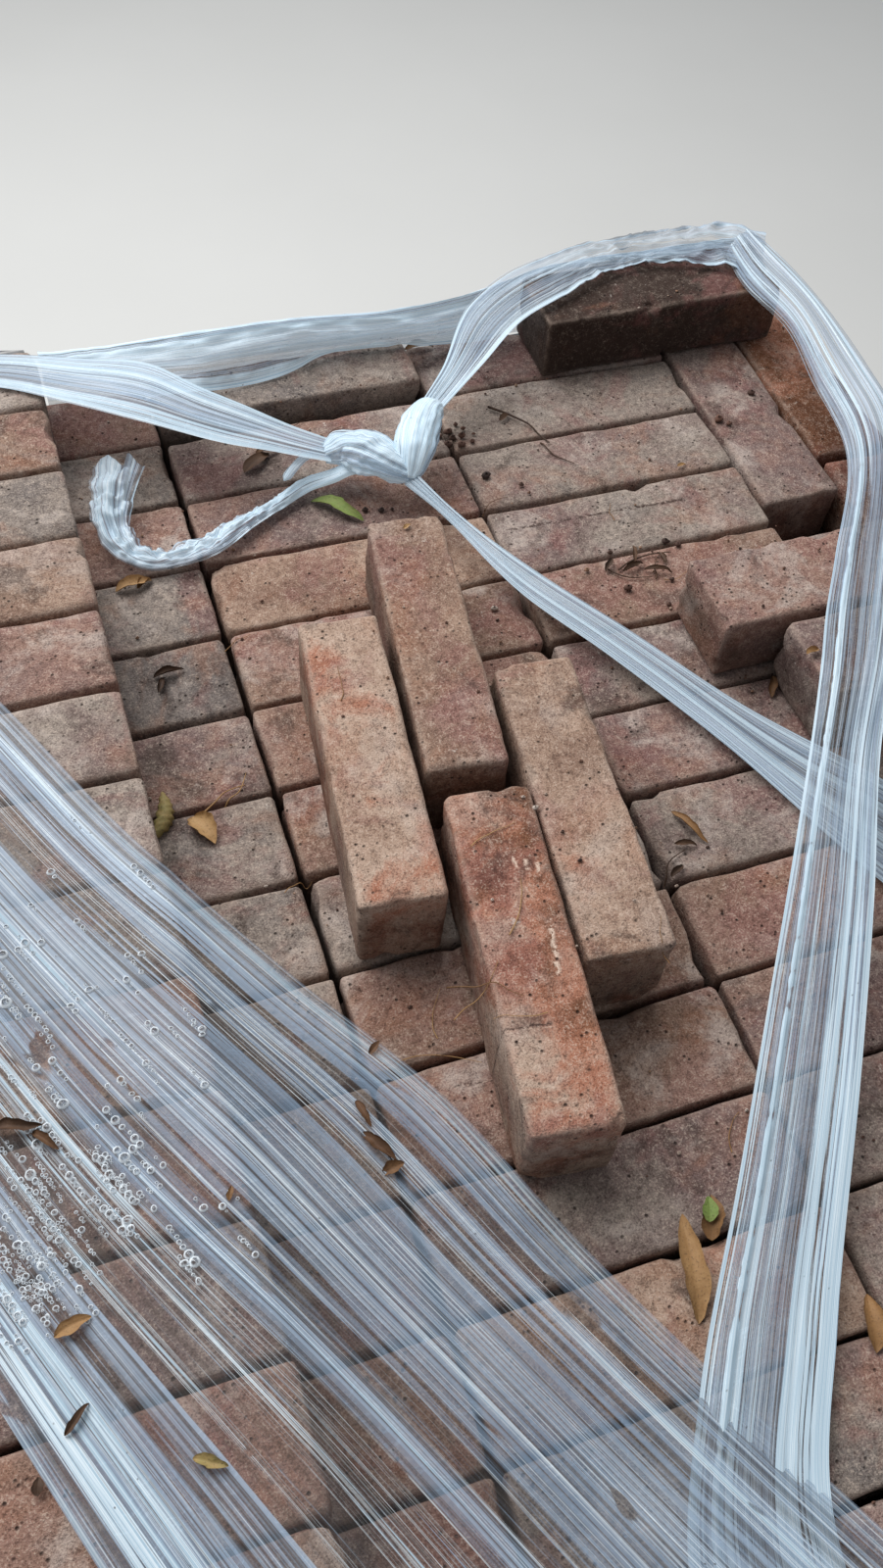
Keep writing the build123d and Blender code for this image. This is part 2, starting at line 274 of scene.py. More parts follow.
class Field:
    """Smooth random values in space, from -1 to 1, the same at each run."""

    def __init__(self, seed, size=32):
        self.size = size
        self.table = np.random.default_rng(seed).uniform(-1, 1, (size, size, size))

    def __call__(self, points, pitch):
        """Values at points (..., 3), with humps about a pitch apart."""
        place = np.asarray(points, float) / pitch
        cell = np.floor(place).astype(int)
        part = place - cell
        part = part * part * (3 - 2 * part)
        total = np.zeros(place.shape[:-1])
        for corner in range(8):
            step = np.array([corner & 1, corner >> 1 & 1, corner >> 2 & 1])
            index = (cell + step) % self.size
            weight = np.prod(np.where(step, part, 1 - part), axis=-1)
            total += weight * self.table[index[..., 0], index[..., 1], index[..., 2]]
        return total


# Meshes

def add_mesh(name, points, faces, material=None, marks=None):
    """A smooth mesh object, with marks on its points: one value for each, or one vector."""
    mesh = bpy.data.meshes.new(name)
    if isinstance(faces, np.ndarray):
        faces = faces.tolist()
    mesh.from_pydata(np.reshape(points, (-1, 3)).tolist(), [], faces)
    for key, values in (marks or {}).items():
        values = np.asarray(values, np.float32)
        single = values.size == len(mesh.vertices)
        layer = mesh.attributes.new(key, "FLOAT" if single else "FLOAT_VECTOR", "POINT")
        layer.data.foreach_set("value" if single else "vector", values.ravel())
    mesh.polygons.foreach_set("use_smooth", [True] * len(mesh.polygons))
    if material:
        mesh.materials.append(material)
    mesh.update()
    return shown(name, mesh)


class Joined:
    """Many forms joined into one mesh."""

    def __init__(self):
        self.points, self.faces, self.marks, self.count = [], [], {}, 0

    def add(self, points, faces, **marks):
        """Adds a form. A mark is one value for all of its points, or one for each."""
        self.points.append(points)
        self.faces += [[i + self.count for i in face] for face in faces]
        for key, values in marks.items():
            spread = np.broadcast_to(values, (len(points), *np.shape(values)[1:]))
            self.marks.setdefault(key, []).append(spread)
        self.count += len(points)

    def make(self, name, material):
        marks = {key: np.concatenate(values) for key, values in self.marks.items()}
        return add_mesh(name, np.concatenate(self.points), self.faces, material, marks)


def stand_in(piece, node):
    """Has a piece stand for a CAD node."""
    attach(piece, "root")
    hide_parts(node)


def grid_of(x, y, z):
    """Points from their three parts, each spread over the whole grid."""
    return np.stack(np.broadcast_arrays(x, y, z), axis=-1)


def grid_faces(rows, columns, closed=False):
    """Quads between the points of a grid. closed joins its last column to its first."""
    index = np.arange(rows * columns).reshape(rows, columns)
    if closed:
        index = np.concatenate([index, index[:, :1]], axis=1)
    a, b, c, d = index[:-1, :-1], index[1:, :-1], index[1:, 1:], index[:-1, 1:]
    return np.stack([o.ravel() for o in (a, b, c, d)], axis=1)


def tube_faces(rows, columns):
    """Faces of a closed tube with flat ends."""
    ends = [list(range(columns))[::-1], [(rows - 1) * columns + i for i in range(columns)]]
    return grid_faces(rows, columns, closed=True).tolist() + ends


def box_lattice(xs, ys, zs):
    """The surface of a box as a grid of quads: points and faces that look outwards."""
    shape = (len(xs), len(ys), len(zs))
    index = np.full(shape, -1)
    inside = np.zeros(shape, bool)
    inside[1:-1, 1:-1, 1:-1] = True
    index[~inside] = np.arange((~inside).sum())
    grid = np.stack(np.meshgrid(xs, ys, zs, indexing="ij"), axis=-1)
    points = grid[~inside]
    faces = []
    for axis in range(3):
        for end in (0, -1):
            sheet = np.take(index, end, axis=axis)
            a, b, c, d = sheet[:-1, :-1], sheet[1:, :-1], sheet[1:, 1:], sheet[:-1, 1:]
            order = (a, b, c, d) if (end == -1) == (axis != 1) else (a, d, c, b)
            faces.append(np.stack([o.ravel() for o in order], axis=1))
    return points, np.concatenate(faces)


def edge_spaced(size, near, cell):
    """Places along a side: close together at both ends, then about a cell apart."""
    half = size / 2
    inner = half - near[-1]
    count = max(1, round(2 * inner / cell))
    middle = np.linspace(-inner, inner, count + 1)
    low = [-half + n for n in near[:-1]]
    return np.array(low + middle.tolist() + [-v for v in reversed(low)])


# Bricks

hump = Field(3)
dent = Field(8)
chance = np.random.default_rng(21)


class BrickMould:
    """Makes worn bricks of one size on one grid of points."""

    def __init__(self, size, near, cell):
        self.size = np.array(size)
        places = [edge_spaced(s, near, cell) for s in size]
        self.points, self.faces = box_lattice(*places)

    def brick(self, radius, wear, chips):
        """Points of one brick about its middle, and how worn each point is."""
        place = self.points
        half = self.size / 2
        shift = chance.uniform(-1, 1, 3)
        about = place + 0.4 * shift
        around = radius * (1 + 0.45 * hump(about, 0.035) + 0.25 * dent(about, 0.011))
        around = np.clip(around, 0.35 * radius, 1.9 * radius)[:, None]
        core = np.clip(place, -(half - around), half - around)
        out = place - core
        length = np.linalg.norm(out, axis=1, keepdims=True)
        rounded = core + out / np.maximum(length, 1e-9) * np.minimum(length, around)
        normal = out / np.maximum(length, 1e-9)
        uneven = wear * (0.55 * hump(about, 0.045) + 0.45 * dent(about, 0.016) + 0.3 * hump(about, 0.007))
        made = rounded + normal * (uneven - 0.6 * wear)[:, None]
        sides = np.sort(half - np.abs(place), axis=1)
        worn = np.exp(-sides[:, 1] / (1.3 * radius))
        for _ in range(chips):
            axis = chance.integers(3)
            spot = chance.choice([-1, 1], 3) * half
            spot[axis] = chance.uniform(-half[axis], half[axis])
            reach = chance.uniform(0.9, 2.6) * radius
            distance = np.linalg.norm((made - spot) * chance.uniform(0.7, 1.4, 3), axis=1)
            depth = np.clip(1 - distance / reach, 0, None)
            inward = -made / np.linalg.norm(made, axis=1, keepdims=True)
            rough = 1 + 0.5 * dent(about, 0.004)
            made = made + inward * (0.55 * reach * depth * rough)[:, None]
            worn = np.maximum(worn, np.minimum(1, 1.5 * depth))
        return made, worn


def points_of(mesh):
    places = np.zeros(len(mesh.vertices) * 3)
    mesh.vertices.foreach_get("co", places)
    return places.reshape(-1, 3)


def islands(node):
    """The solids of a CAD node, as arrays of their corners."""
    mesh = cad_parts[node].data
    places = points_of(mesh)
    keys = np.round(places / (0.01 * MM)).astype(int)
    merged = np.unique(keys, axis=0, return_inverse=True)[1].ravel()
    group = list(range(merged.max() + 1))

    def root(i):
        while group[i] != i:
            group[i] = group[group[i]]
            i = group[i]
        return i

    for polygon in mesh.polygons:
        first, *others = [merged[v] for v in polygon.vertices]
        for other in others:
            group[root(other)] = root(first)
    roots = np.array([root(i) for i in merged])
    return [places[roots == r] for r in np.unique(roots)]


def brick_frame(corners):
    """Middle, turn and size of a brick from its corners, its length first."""
    low, high = corners[:, 2].min(), corners[:, 2].max()
    top = np.unique(np.round(corners[corners[:, 2] > high - 0.1 * MM, :2], 6), axis=0)
    steps = top - top[0]
    along = steps[np.argsort(np.linalg.norm(steps, axis=1))[2]]
    along = along / np.linalg.norm(along)
    if along[0] < -0.5 or along[1] < -0.5:
        along = -along
    across = np.array([-along[1], along[0]])
    middle = top.mean(axis=0)
    reach = corners[:, :2] - middle
    length = 2 * np.abs(reach @ along).max()
    width = 2 * np.abs(reach @ across).max()
    angle = math.atan2(along[1], along[0])
    return np.array([*middle, (low + high) / 2]), angle, (length, width, high - low)


def turned(points, angle):
    """Points turned about Z."""
    c, s = math.cos(angle), math.sin(angle)
    return points @ np.array([[c, s, 0], [-s, c, 0], [0, 0, 1]])


def lay_bricks(name, node, mould, radius, wear, chips, shade_of):
    """Every brick of a CAD node as one piece, each worn, with so many chips and a shade of its own."""
    laid = Joined()
    for corners in islands(node):
        middle, angle, size = brick_frame(corners)
        form, worn = mould.brick(radius, wear, chance.integers(*chips))
        if size[2] > size[1]:
            form = form[:, [0, 2, 1]] * (1, -1, 1)
        flip = chance.choice([-1, 1], 2)
        form = form * (flip[0], flip[1], 1)
        grain = form + chance.uniform(-3, 3, 3)
        faces = mould.faces if flip[0] * flip[1] > 0 else mould.faces[:, ::-1]
        laid.add(turned(form, angle) + middle, faces.tolist(), grain=grain, worn=worn,
                 shade=shade_of(node, middle), low=0.5 - form[:, 2] / size[2])
    stand_in(laid.make(name, clay), node)


# Fired clay

# The stop at 0.00 is brick 5's and the one at 1.00 the open course's rightmost brick's: both are dark partly
# as painted shade.
clay_shades = ((0.00, 60, 47, 41), (0.14, 114, 106, 102), (0.28, 150, 137, 127), (0.42, 124, 103, 99),
               (0.54, 152, 119, 107), (0.66, 136, 108, 93), (0.76, 162, 134, 116), (0.84, 186, 160, 142),
               (0.92, 172, 117, 94), (1.00, 108, 70, 49))

# Marks on single bricks, as (start, end, width) in plan, millimetres: pale scratches, and dark lines that are
# painted shade in cracks not cut into the shape
scratches = (((42, -31), (34, -65), 1.8), ((37, 10), (36, 1), 1.5), ((42, 7), (41, -2), 1.7),
             ((48, 3), (46, -7), 1.5))
shaded_cracks = (((146, 303), (240, 301), 1.6), ((236, 301), (288, 299), 2.4), ((-24, -81), (22, -88), 1.1))


def marked(s, colour, marks, tint):
    """A colour with ragged lines drawn over it."""
    place = s.place()
    ragged = (s.noise(place, 330.0, 3.0, 0.7) - 0.5) * (5 * MM)
    gaps = s.noise(place, 300.0, 2.0).between(0.42, 0.5)
    fade = 2 * MM
    for start, end, wide in marks:
        start, end = np.array((start, end)) * MM
        length = np.linalg.norm(end - start)
        ahead = (end - start) / length
        aside = np.array([-ahead[1], ahead[0]])
        gone = s.reach(place, (*ahead, 0)) - ahead @ start
        off = s.reach(place, (*aside, 0)) - aside @ start + ragged
        inside = gone.between(0.0, fade) * (1 - gone.between(length - fade, length))
        colour = s.laid_over(colour, (off.line(0.0, 1 / (wide * MM)) * inside * gaps, *tint))
    return colour


def clay_material():
    """Rough fired clay, sandy, with pores. Each brick has its own grain, and its shade from 0 to 1."""
    s = Shader("clay")
    grain = s.attribute("grain", "Vector")
    worn = s.attribute("worn")
    shade = s.attribute("shade")
    low = s.attribute("low")

    def blot(shift, scale, least, most):
        spread = s.noise(s.stretched(grain, shift=shift), scale, 5.0, 0.66, 0.5)
        return spread.between(least, most)

    cloud = s.noise(grain, 10.0, 2.0, 0.55)
    patch = s.noise(s.stretched(grain, shift=(4.1, 1.7, 0.9)), 34.0, 5.0, 0.68, 0.6)
    place = (shade + (cloud - 0.5) * 0.5 + (patch - 0.5) * 0.4).clamp()
    # lit is low for the darkest shades, brick 5's most of all, whose dark is partly painted shade; it thins
    # the pale bloom and speckle on them.
    lit = shade.between(-0.05, 0.25)
    bloom = blot((0.3, 7.1, 2.2), 19.0, 0.5, 0.67) * (lit - shade.between(0.58, 0.7) * 0.5)
    fine = s.noise(grain, 900.0, 2.0, 0.75)
    coarse = s.noise(grain, 560.0, 3.0, 0.7)
    mottle = s.noise(grain, 210.0, 4.0, 0.72)
    speckle = fine + (coarse - 0.5) * 0.45 + (mottle - 0.5) * 0.8
    # Pores: small pits, whose near-black colour is painted shade inside them.
    pore_size = s.noise(grain, 70.0, 2.0)
    hole = (1 - s.spots(grain, 210.0).between(0.06, 0.26)) * pore_size.between(0.5, 0.6)
    lime = s.noise(s.stretched(grain, (1.0, 0.55, 1.0), (5.1, 3.3, 0.2)), 110.0, 5.0, 0.8)
    colour = s.laid_over(
        s.ramp(place, *clay_shades),
        (blot((2.3, 0.4, 1.1), 15.0, 0.5, 0.62) * 0.45, 136, 90, 86),
        (blot((7.7, 5.2, 3.1), 13.0, 0.5, 0.64) * 0.34, 156, 104, 76),
        (bloom * 0.62, 190, 177, 168),
        (blot((6.1, 2.6, 8.4), 24.0, 0.54, 0.68) * 0.6, 70, 58, 53),
        (speckle.between(0.52, 0.74) * (0.14 + lit * 0.26), 224, 204, 187),
        ((1 - speckle.between(0.28, 0.5)) * 0.56, 54, 37, 31),
        (hole * 0.85, 38, 28, 25),
        (lime.between(0.64, 0.72) * 0.6, 216, 204, 194))
    colour = marked(s, colour, scratches, (222, 198, 180))
    # Painted shade along the cracks.
    colour = marked(s, colour, shaded_cracks, (62, 46, 41))
    rubbed = worn.between(0.3, 0.95) * patch.between(0.35, 0.6)
    # Painted shade with some dirt: each brick darkens from just below its top edge to half way down its
    # sides, into the joints and towards its foot.
    joint_dirt_and_shade = low.between(0.08, 0.5) * (0.4 + (patch - 0.5) * 1.2).clamp()
    colour = s.laid_over(colour, (rubbed * 0.4, 178, 158, 144), (joint_dirt_and_shade, 60, 47, 41))
    height = speckle * 0.55 + patch * 0.45 - hole * 0.9
    normal = s.bump(height, 1.6 * MM, 0.9)
    rough = 0.88 + (fine - 0.5) * 0.1
    return s.finish(Base_Color=colour, Roughness=rough.clamp(), Normal=normal, Specular_IOR_Level=0.2)


clay = clay_material()

# The courses that are open to view, brick by brick

brick_length, brick_width = 0.202, 0.063
brick_size = (brick_length, brick_width, brick_high)
fine_near = (0, 1.5 * MM, 3.8 * MM)
finest_near = (0, 0.9 * MM, 2.0 * MM, 3.4 * MM, 5 * MM)


def open_shade(node, middle):
    """Shade of a brick of the open courses: greyest left of the middle, mauve and brown at the right."""
    x, y = middle[0], middle[1]
    open_course = node == "brick_course_14"
    if open_course and x > right - 2 * brick_width - 3 * MM:
        # The rightmost brick takes 1.02, the darkest brown: partly its own colour, partly painted shade for
        # the shade it lies in under the film.
        return 1.02 if x > right - brick_width else 0.4
    drawn = float(chance.beta(1.5, 1.7)) * 0.62 + 0.16
    if open_course and x < -0.06 and -0.1 < y < 0.32:
        drawn = drawn * 0.62
    if open_course and 0.1 < x < 0.3 and 0.33 < y < 0.38:
        drawn = drawn * 0.55
    return drawn


# loose_brick_5's 0.02 takes the darkest colour: partly its own dark brown clay, partly painted shade for the
# shade it lies in.
loose_shades = {"loose_brick_1": 0.69, "loose_brick_2": 0.84, "loose_brick_3": 0.92, "loose_brick_4": 0.78,
                "loose_brick_5": 0.02, "loose_brick_6": 0.5, "loose_brick_7": 0.36}


def add_open_bricks():
    layer_mould = BrickMould(brick_size, near=fine_near, cell=9 * MM)
    loose_mould = BrickMould(brick_size, near=finest_near, cell=2.7 * MM)
    for name, node in (("open_course_bricks", "brick_course_14"), ("part_course_bricks", "brick_course_15")):
        lay_bricks(name, node, layer_mould, radius=4.6 * MM, wear=1.1 * MM, chips=(5, 12),
                   shade_of=open_shade)
    for node, shade in loose_shades.items():
        lay_bricks(node.replace("loose", "top"), node, loose_mould, radius=4.2 * MM, wear=0.9 * MM,
                   chips=(9, 18), shade_of=lambda node, middle, shade=shade: shade)


# The closed courses, of which only the outer bricks are ever seen

row_joint, column_joint, side_joint = 2 * MM, 2.5 * MM, 2 * MM
column_count = 4
row_pitch = brick_width + row_joint
row_count = round((back - front + row_joint) / row_pitch)
column_pitch = brick_length + column_joint
side_width = 2 * brick_width + side_joint
end_count = int((back - front) // (brick_length + row_joint))
end_pitch = (back - front - brick_length) / (end_count - 1)


def course_places(mirrored, whole):
    """Plan place and turn of a course's bricks: all of them, or the ones on its outside."""
    start = left + side_width + column_joint if mirrored else left
    outer_column = column_count - 1 if mirrored else 0
    places = []
    for column in range(column_count):
        for row in range(row_count):
            if whole or column == outer_column or row in (0, row_count - 1):
                x = start + brick_length / 2 + column * column_pitch
                places.append((x, back - brick_width / 2 - row * row_pitch, 0.0))
    side_start = left if mirrored else right - side_width
    outer_side = 0 if mirrored else 1
    for column in (0, 1):
        for place in range(end_count):
            if whole or column == outer_side or place in (0, end_count - 1):
                x = side_start + brick_width / 2 + column * (brick_width + side_joint)
                places.append((x, back - brick_length / 2 - place * end_pitch, math.pi / 2))
    return places


def laid_course_tree():
    """Bricks on points, each a little off its place, with their own grain and shade."""
    tree = Repeat("laid_course", Brick="Object", Wander="Float", Wear="Float", Seed="Int")
    brick = tree.node("GeometryNodeObjectInfo", None, {"Object": tree.input("Brick")}, "Geometry")
    turn = tree.node("GeometryNodeInputNamedAttribute", {"data_type": "FLOAT"}, {"Name": "turn"})
    flip = tree.node("FunctionNodeRandomValue", {"data_type": "INT"},
                     {4: 0, 5: 1, "Seed": tree.input("Seed")}, 2)
    rotation = tree.node("ShaderNodeCombineXYZ", None, {"Z": turn + flip * math.pi})
    laid = tree.node("GeometryNodeInstanceOnPoints", None,
                     {"Points": tree.input("Geometry"), "Instance": brick, "Rotation": rotation})
    moved = tree.node("GeometryNodeTranslateInstances", None,
                      {"Instances": laid, "Translation": tree.jitter(tree.input("Wander"))})
    real = tree.node("GeometryNodeRealizeInstances", None, {"Geometry": moved})
    place = tree.node("GeometryNodeInputPosition")
    shade = tree.node("GeometryNodeInputNamedAttribute", {"data_type": "FLOAT"}, {"Name": "shade"})
    apart = tree.node("ShaderNodeCombineXYZ", None, {"X": shade * 7.0, "Y": shade * 3.0})
    grain = tree.node("ShaderNodeVectorMath", {"operation": "ADD"}, {0: place, 1: apart})
    stored = tree.node("GeometryNodeStoreNamedAttribute", {"data_type": "FLOAT_VECTOR", "domain": "POINT"},
                       {"Geometry": real, "Name": "grain", "Value": grain})
    uneven = tree.node("ShaderNodeTexNoise", None, {"Vector": grain, "Scale": 24.0, "Detail": 2.0})
    normal = tree.node("GeometryNodeInputNormal")
    depth = (uneven - 0.65) * tree.input("Wear")
    offset = tree.node("ShaderNodeVectorMath", {"operation": "SCALE"}, {0: normal, "Scale": depth})
    shaped = tree.node("GeometryNodeSetPosition", None, {"Geometry": stored, "Offset": offset})
    tree.finish(shaped, clay)
    return tree


def add_closed_courses():
    mould = BrickMould(brick_size, near=(0, 1.4 * MM, 4.5 * MM), cell=32 * MM)
    form, worn = mould.brick(radius=4.5 * MM, wear=0.0, chips=0)
    brick = add_mesh("one_brick", form, mould.faces, clay, {"worn": worn})
    tree = laid_course_tree()
    open_course = round((open_top - deck_top) / brick_high)
    for course in range(1, open_course):
        mirrored = (open_course - course) % 2 == 1
        places = course_places(mirrored, whole=course == open_course - 1)
        z = deck_top + (course - 0.5) * brick_high
        points = [(x, y, z) for x, y, turn in places]
        marks = {"turn": [turn for x, y, turn in places],
                 "shade": chance.beta(1.6, 1.9, len(places)) * 0.72 + 0.06}
        base = add_mesh("places", points, [], None, marks)
        piece = tree.grow(f"course_{course:02d}_bricks", base, Brick=brick, Wander=0.5 * MM, Wear=1.6 * MM,
                          Seed=course)
        stand_in(piece, f"brick_course_{course:02d}")
    bpy.data.objects.remove(brick)


# What lies on the bricks follows their tops

class Tops:
    """Height of the bricks under any plan points, with their edges rounded."""

    def __init__(self, nodes):
        self.bricks = [brick_frame(corners) for node in nodes for corners in islands(node)]

    def __call__(self, places, edge=4 * MM):
        points = np.reshape(places, (-1, 2))
        heights = np.full(len(points), open_top - brick_high)
        for middle, angle, size in self.bricks:
            c, s = math.cos(angle), math.sin(angle)
            away = points - middle[:2]
            along = np.abs(away @ (c, s))
            across = np.abs(away @ (-s, c))
            inside = np.minimum(size[0] / 2 - along, size[1] / 2 - across)
            short = edge - np.clip(inside, 0, edge)
            top = middle[2] + size[2] / 2 - edge + np.sqrt(edge ** 2 - short ** 2)
            heights = np.where(inside > 0, np.maximum(heights, top), heights)
        return heights.reshape(np.shape(places)[:-1])


tops = Tops(["brick_course_14", "brick_course_15", *loose_shades])


def above_open(points):
    """Points given in millimetres, their height from the top of the open course."""
    return [(x * MM, y * MM, open_top + z * MM) for x, y, z in points]


def gone_along(line):
    """How far along a line each of its points is."""
    return np.concatenate([[0], np.cumsum(np.linalg.norm(np.diff(line, axis=0), axis=1))])


def evenly(line, count):
    """Points at even steps along a line."""
    gone = gone_along(line)
    even = np.linspace(0, gone[-1], count)
    return np.stack([np.interp(even, gone, values) for values in line.T], axis=1)


def through(points, count):
    """Evenly spread points on a smooth line through a few points."""
    points = np.asarray(points, float)
    at = gone_along(points)
    slopes = np.gradient(points, at, axis=0)
    fine = np.linspace(0, at[-1], 20 * count)
    span = np.clip(np.searchsorted(at, fine, side="right") - 1, 0, len(at) - 2)
    width = (at[span + 1] - at[span])[:, None]
    t = (fine - at[span])[:, None] / width
    line = ((2 * t ** 3 - 3 * t ** 2 + 1) * points[span] + (t ** 3 - 2 * t ** 2 + t) * width * slopes[span]
            + (3 * t ** 2 - 2 * t ** 3) * points[span + 1] + (t ** 3 - t ** 2) * width * slopes[span + 1])
    return evenly(line, count)


def hill(values, middle, wide):
    """1 where the values pass a middle, and down to 0 to each side."""
    return np.exp(-((values - middle) / wide) ** 2)


def flow_over(grid):
    """How far across and along a sheet each of its points is, for its streaks and pleats."""
    across = np.linalg.norm(np.diff(grid, axis=1), axis=2).sum(axis=1)
    u = np.linspace(0, across.max(), grid.shape[1])
    v = gone_along(grid[:, grid.shape[1] // 2])
    return grid_of(u[None, :], v[:, None], 0.0)


def drawn_tight(edges, along, across, clear, rounds, lengthwise=0.9):
    """A sheet between two or more edges, drawn tight over the bricks, clear of them by millimetres.

    Its two ends stay. Gives its points, its flow, and how far down and across it they are, from 0 to 1."""
    lines = np.array([through(above_open(edge), along) for edge in edges])
    place = np.linspace(0, len(edges) - 1, across)
    low = np.minimum(place.astype(int), len(edges) - 2)
    share = (place - low)[:, None, None]
    grid = (lines[low] * (1 - share) + lines[low + 1] * share).transpose(1, 0, 2)
    rest = tops(grid[..., :2]) + clear * MM
    z = np.maximum(grid[..., 2], rest)
    for _ in range(rounds):
        pulled = z.copy()
        pulled[1:-1] = (z[2:] + z[:-2]) / 2
        side = (z[1:-1, 2:] + z[1:-1, :-2]) / 2
        pulled[1:-1, 1:-1] = lengthwise * pulled[1:-1, 1:-1] + (1 - lengthwise) * side
        z = np.maximum(pulled, rest)
    grid[..., 2] = z
    return grid, flow_over(grid), np.linspace(0, 1, along)[:, None], np.linspace(0, 1, across)[None, :]


def lifted(grid, heights):
    """A grid moved along its own normals."""
    normal = np.cross(np.gradient(grid, axis=0), np.gradient(grid, axis=1))
    normal /= np.maximum(np.linalg.norm(normal, axis=2, keepdims=True), 1e-12)
    if normal[..., 2].mean() < 0:
        normal = -normal
    return grid + normal * heights[..., None]


def pleats(flow, deep, pitch, length, shift=0.0):
    """Lengthwise waves over a sheet: so deep, so far apart and so long, in millimetres."""
    deep, pitch, length = deep * MM, pitch * MM, length * MM
    drawn = flow * (1, pitch / length, 1)
    fine = dent(drawn + (0, shift, 0.5), pitch * 0.42)
    return deep * (hump(drawn + (shift, 0, 0), pitch) * 0.7 + fine * 0.45)


def crumples(flow, deep, pitch, shift=0.0):
    """Sharp folds that run any way over a sheet: so deep and so far apart, in millimetres."""
    deep, pitch = deep * MM, pitch * MM
    place = flow + (shift, 0, shift)
    return deep * (1 - 2 * np.abs(hump(place, pitch)) - np.abs(dent(place, pitch * 0.45)) * 0.7)


# Stretch film

def film_material(name, haze, white, gauze, clear, dense, spun, glow=0.0, flat=0.0):
    """Film pulled into lengthwise strips, clear, hazy or white, with thin dark lines of painted shade between
    them.

    haze and white are the opacity of those strips, gauze how finely they are drawn out,
    spun how much their finest threads show.
    A strip is clear where the noise is under clear, and white where it is over dense.
    glow stands in for the light that comes through film from behind.
    flat is how evenly hazy the film is inside its first edge."""
    s = Shader(name)
    flow = s.attribute("flow", "Vector")
    veil = s.attribute("veil")

    def strips(shift, scale, detail, length):
        drawn = s.stretched(flow, (1, 1 / (scale * length), 1), (shift, 0, 0))
        return s.noise(drawn, scale * gauze, detail, 0.72)

    broad = strips(0.31, 19.0, 6.0, 3.4)
    pale = strips(0.07, 30.0, 6.0, 2.8)
    lines = strips(0.53, 190.0, 3.0, 2.2)
    hairs = strips(0.83, 620.0, 2.0, 1.4)
    in_from_edge = s.reach(flow, (1, 0, 0))
    near = (1 - in_from_edge.between(0.12, 0.19)) * flat
    calm = in_from_edge.between(0.035, 0.06) * near
    hazy = (broad + near * 0.05).between(clear - 0.01, clear + 0.015)
    more = (veil - 1).clamp() * 0.3 - calm * 0.04
    bright = (pale * 0.75 + lines * 0.25 + more).between(dense, dense + 0.035)
    glints = lines.line(0.5, 38.0) * pale.between(dense - 0.12, dense - 0.04)
    # Painted shade: thin dark brown-grey lines between the strips, for shaded gaps between the pleats.
    shaded_gaps = strips(0.19, 52.0, 3.0, 6.0).line(0.5, 22.0) * (1 - bright)
    further = s.reach(flow, (0, 1, 0)) + (broad - 0.5)
    comb = (1 - lines.between(0.46, 0.53)) * further.between(0.45, 0.7)
    damp = s.noise(s.stretched(flow, (1, 0.4, 1), (0.2, 0.9, 0)), 38.0, 2.0, 0.5, 0.4)
    wet = damp.between(0.67, 0.69) * flat
    cloudy = s.noise(s.stretched(flow, (1, 0.4, 1)), 14.0, 4.0, 0.6)
    crease = s.noise(s.stretched(flow, (0.5, 1, 1), (0.2, 0.4, 0)), 44.0, 4.0, 0.6, 1.2).line(0.5, 70.0)
    specks = (1 - s.spots(flow, 170.0).between(0.05, 0.14)) * s.noise(flow, 28.0, 3.0).between(0.52, 0.62)
    threads = (1 - calm * 0.8) * spun
    # Painted reflection: the blue of these colours stands for the sky mirrored in the film; its haze and
    # whiteness are its own.
    colour = s.laid_over(
        rgb(142, 164, 189),
        (cloudy.between(0.35, 0.65), 168, 187, 208),
        (1 - hazy, 112, 106, 106),
        (bright, 172, 198, 215),
        (hairs.between(0.48, 0.62) * (bright * 0.6 + threads * 0.6), 222, 236, 245),
        (glints, 232, 243, 249),
        (shaded_gaps * 0.85, 70, 60, 52),
        (specks * 0.8, 58, 48, 38))
    body = hazy * (haze * 0.75 + cloudy * (haze * 0.5) - 0.15) * (1 - comb * 0.5) + 0.15
    body = body + bright * (white - body) + (hairs - 0.5) * threads
    body = body + glints * (0.9 - body) * 0.8 + crease * 0.12
    body = body * (1 - wet * 0.8) * (1 - shaded_gaps * 0.6) + shaded_gaps * 0.3
    alpha = body * veil + specks * 0.5
    relief = lines * 0.4 + hairs * 0.2 + pale * 0.4
    return s.finish(Base_Color=colour, Roughness=0.36 + bright * 0.16, Normal=s.bump(relief, 1.2 * MM, 0.35),
                    Alpha=alpha.clamp(0.02, 0.98), Specular_IOR_Level=0.4, Coat_Weight=0.1,
                    Coat_Roughness=0.15, Emission_Color=colour, Emission_Strength=glow)


clear_film = film_material("clear_film", haze=0.6, white=0.8, gauze=1.5, clear=0.478, dense=0.545, spun=0.14,
                           flat=1.0)
band_film = film_material("band_film", haze=0.6, white=0.86, gauze=4.6, clear=0.43, dense=0.53, spun=0.4)
bunched_film = film_material("bunched_film", haze=0.82, white=0.92, gauze=3.2, clear=0.34, dense=0.49,
                             spun=0.4)
standing_film = film_material("standing_film", haze=0.6, white=0.9, gauze=2.2, clear=0.38, dense=0.49,
                              spun=0.3, glow=0.25)
knot_film = film_material("knot_film", haze=0.8, white=0.94, gauze=3.2, clear=0.3, dense=0.47, spun=0.4,
                          glow=0.16)


def add_sheet(name, grid, flow, veil, material, node):
    """One sheet of film: a single layer, with its streaks along its rows."""
    points = grid.reshape(-1, 3)
    faces = grid_faces(*grid.shape[:2])
    a, b, d = (points[faces[:, i]] for i in (0, 1, 3))
    if np.cross(b - a, d - a)[:, 2].mean() < 0:
        faces = faces[:, ::-1]
    marks = {"flow": flow, "veil": np.broadcast_to(veil, grid.shape[:2])}
    piece = add_mesh(name, points, faces, material, marks)
    stand_in(piece, node)


# Edges of the film, as (x, y, height over the open course) in millimetres

front_mm, back_mm, left_mm, right_mm, part_mm = (v / MM for v in (front, back, left, right, part_edge))


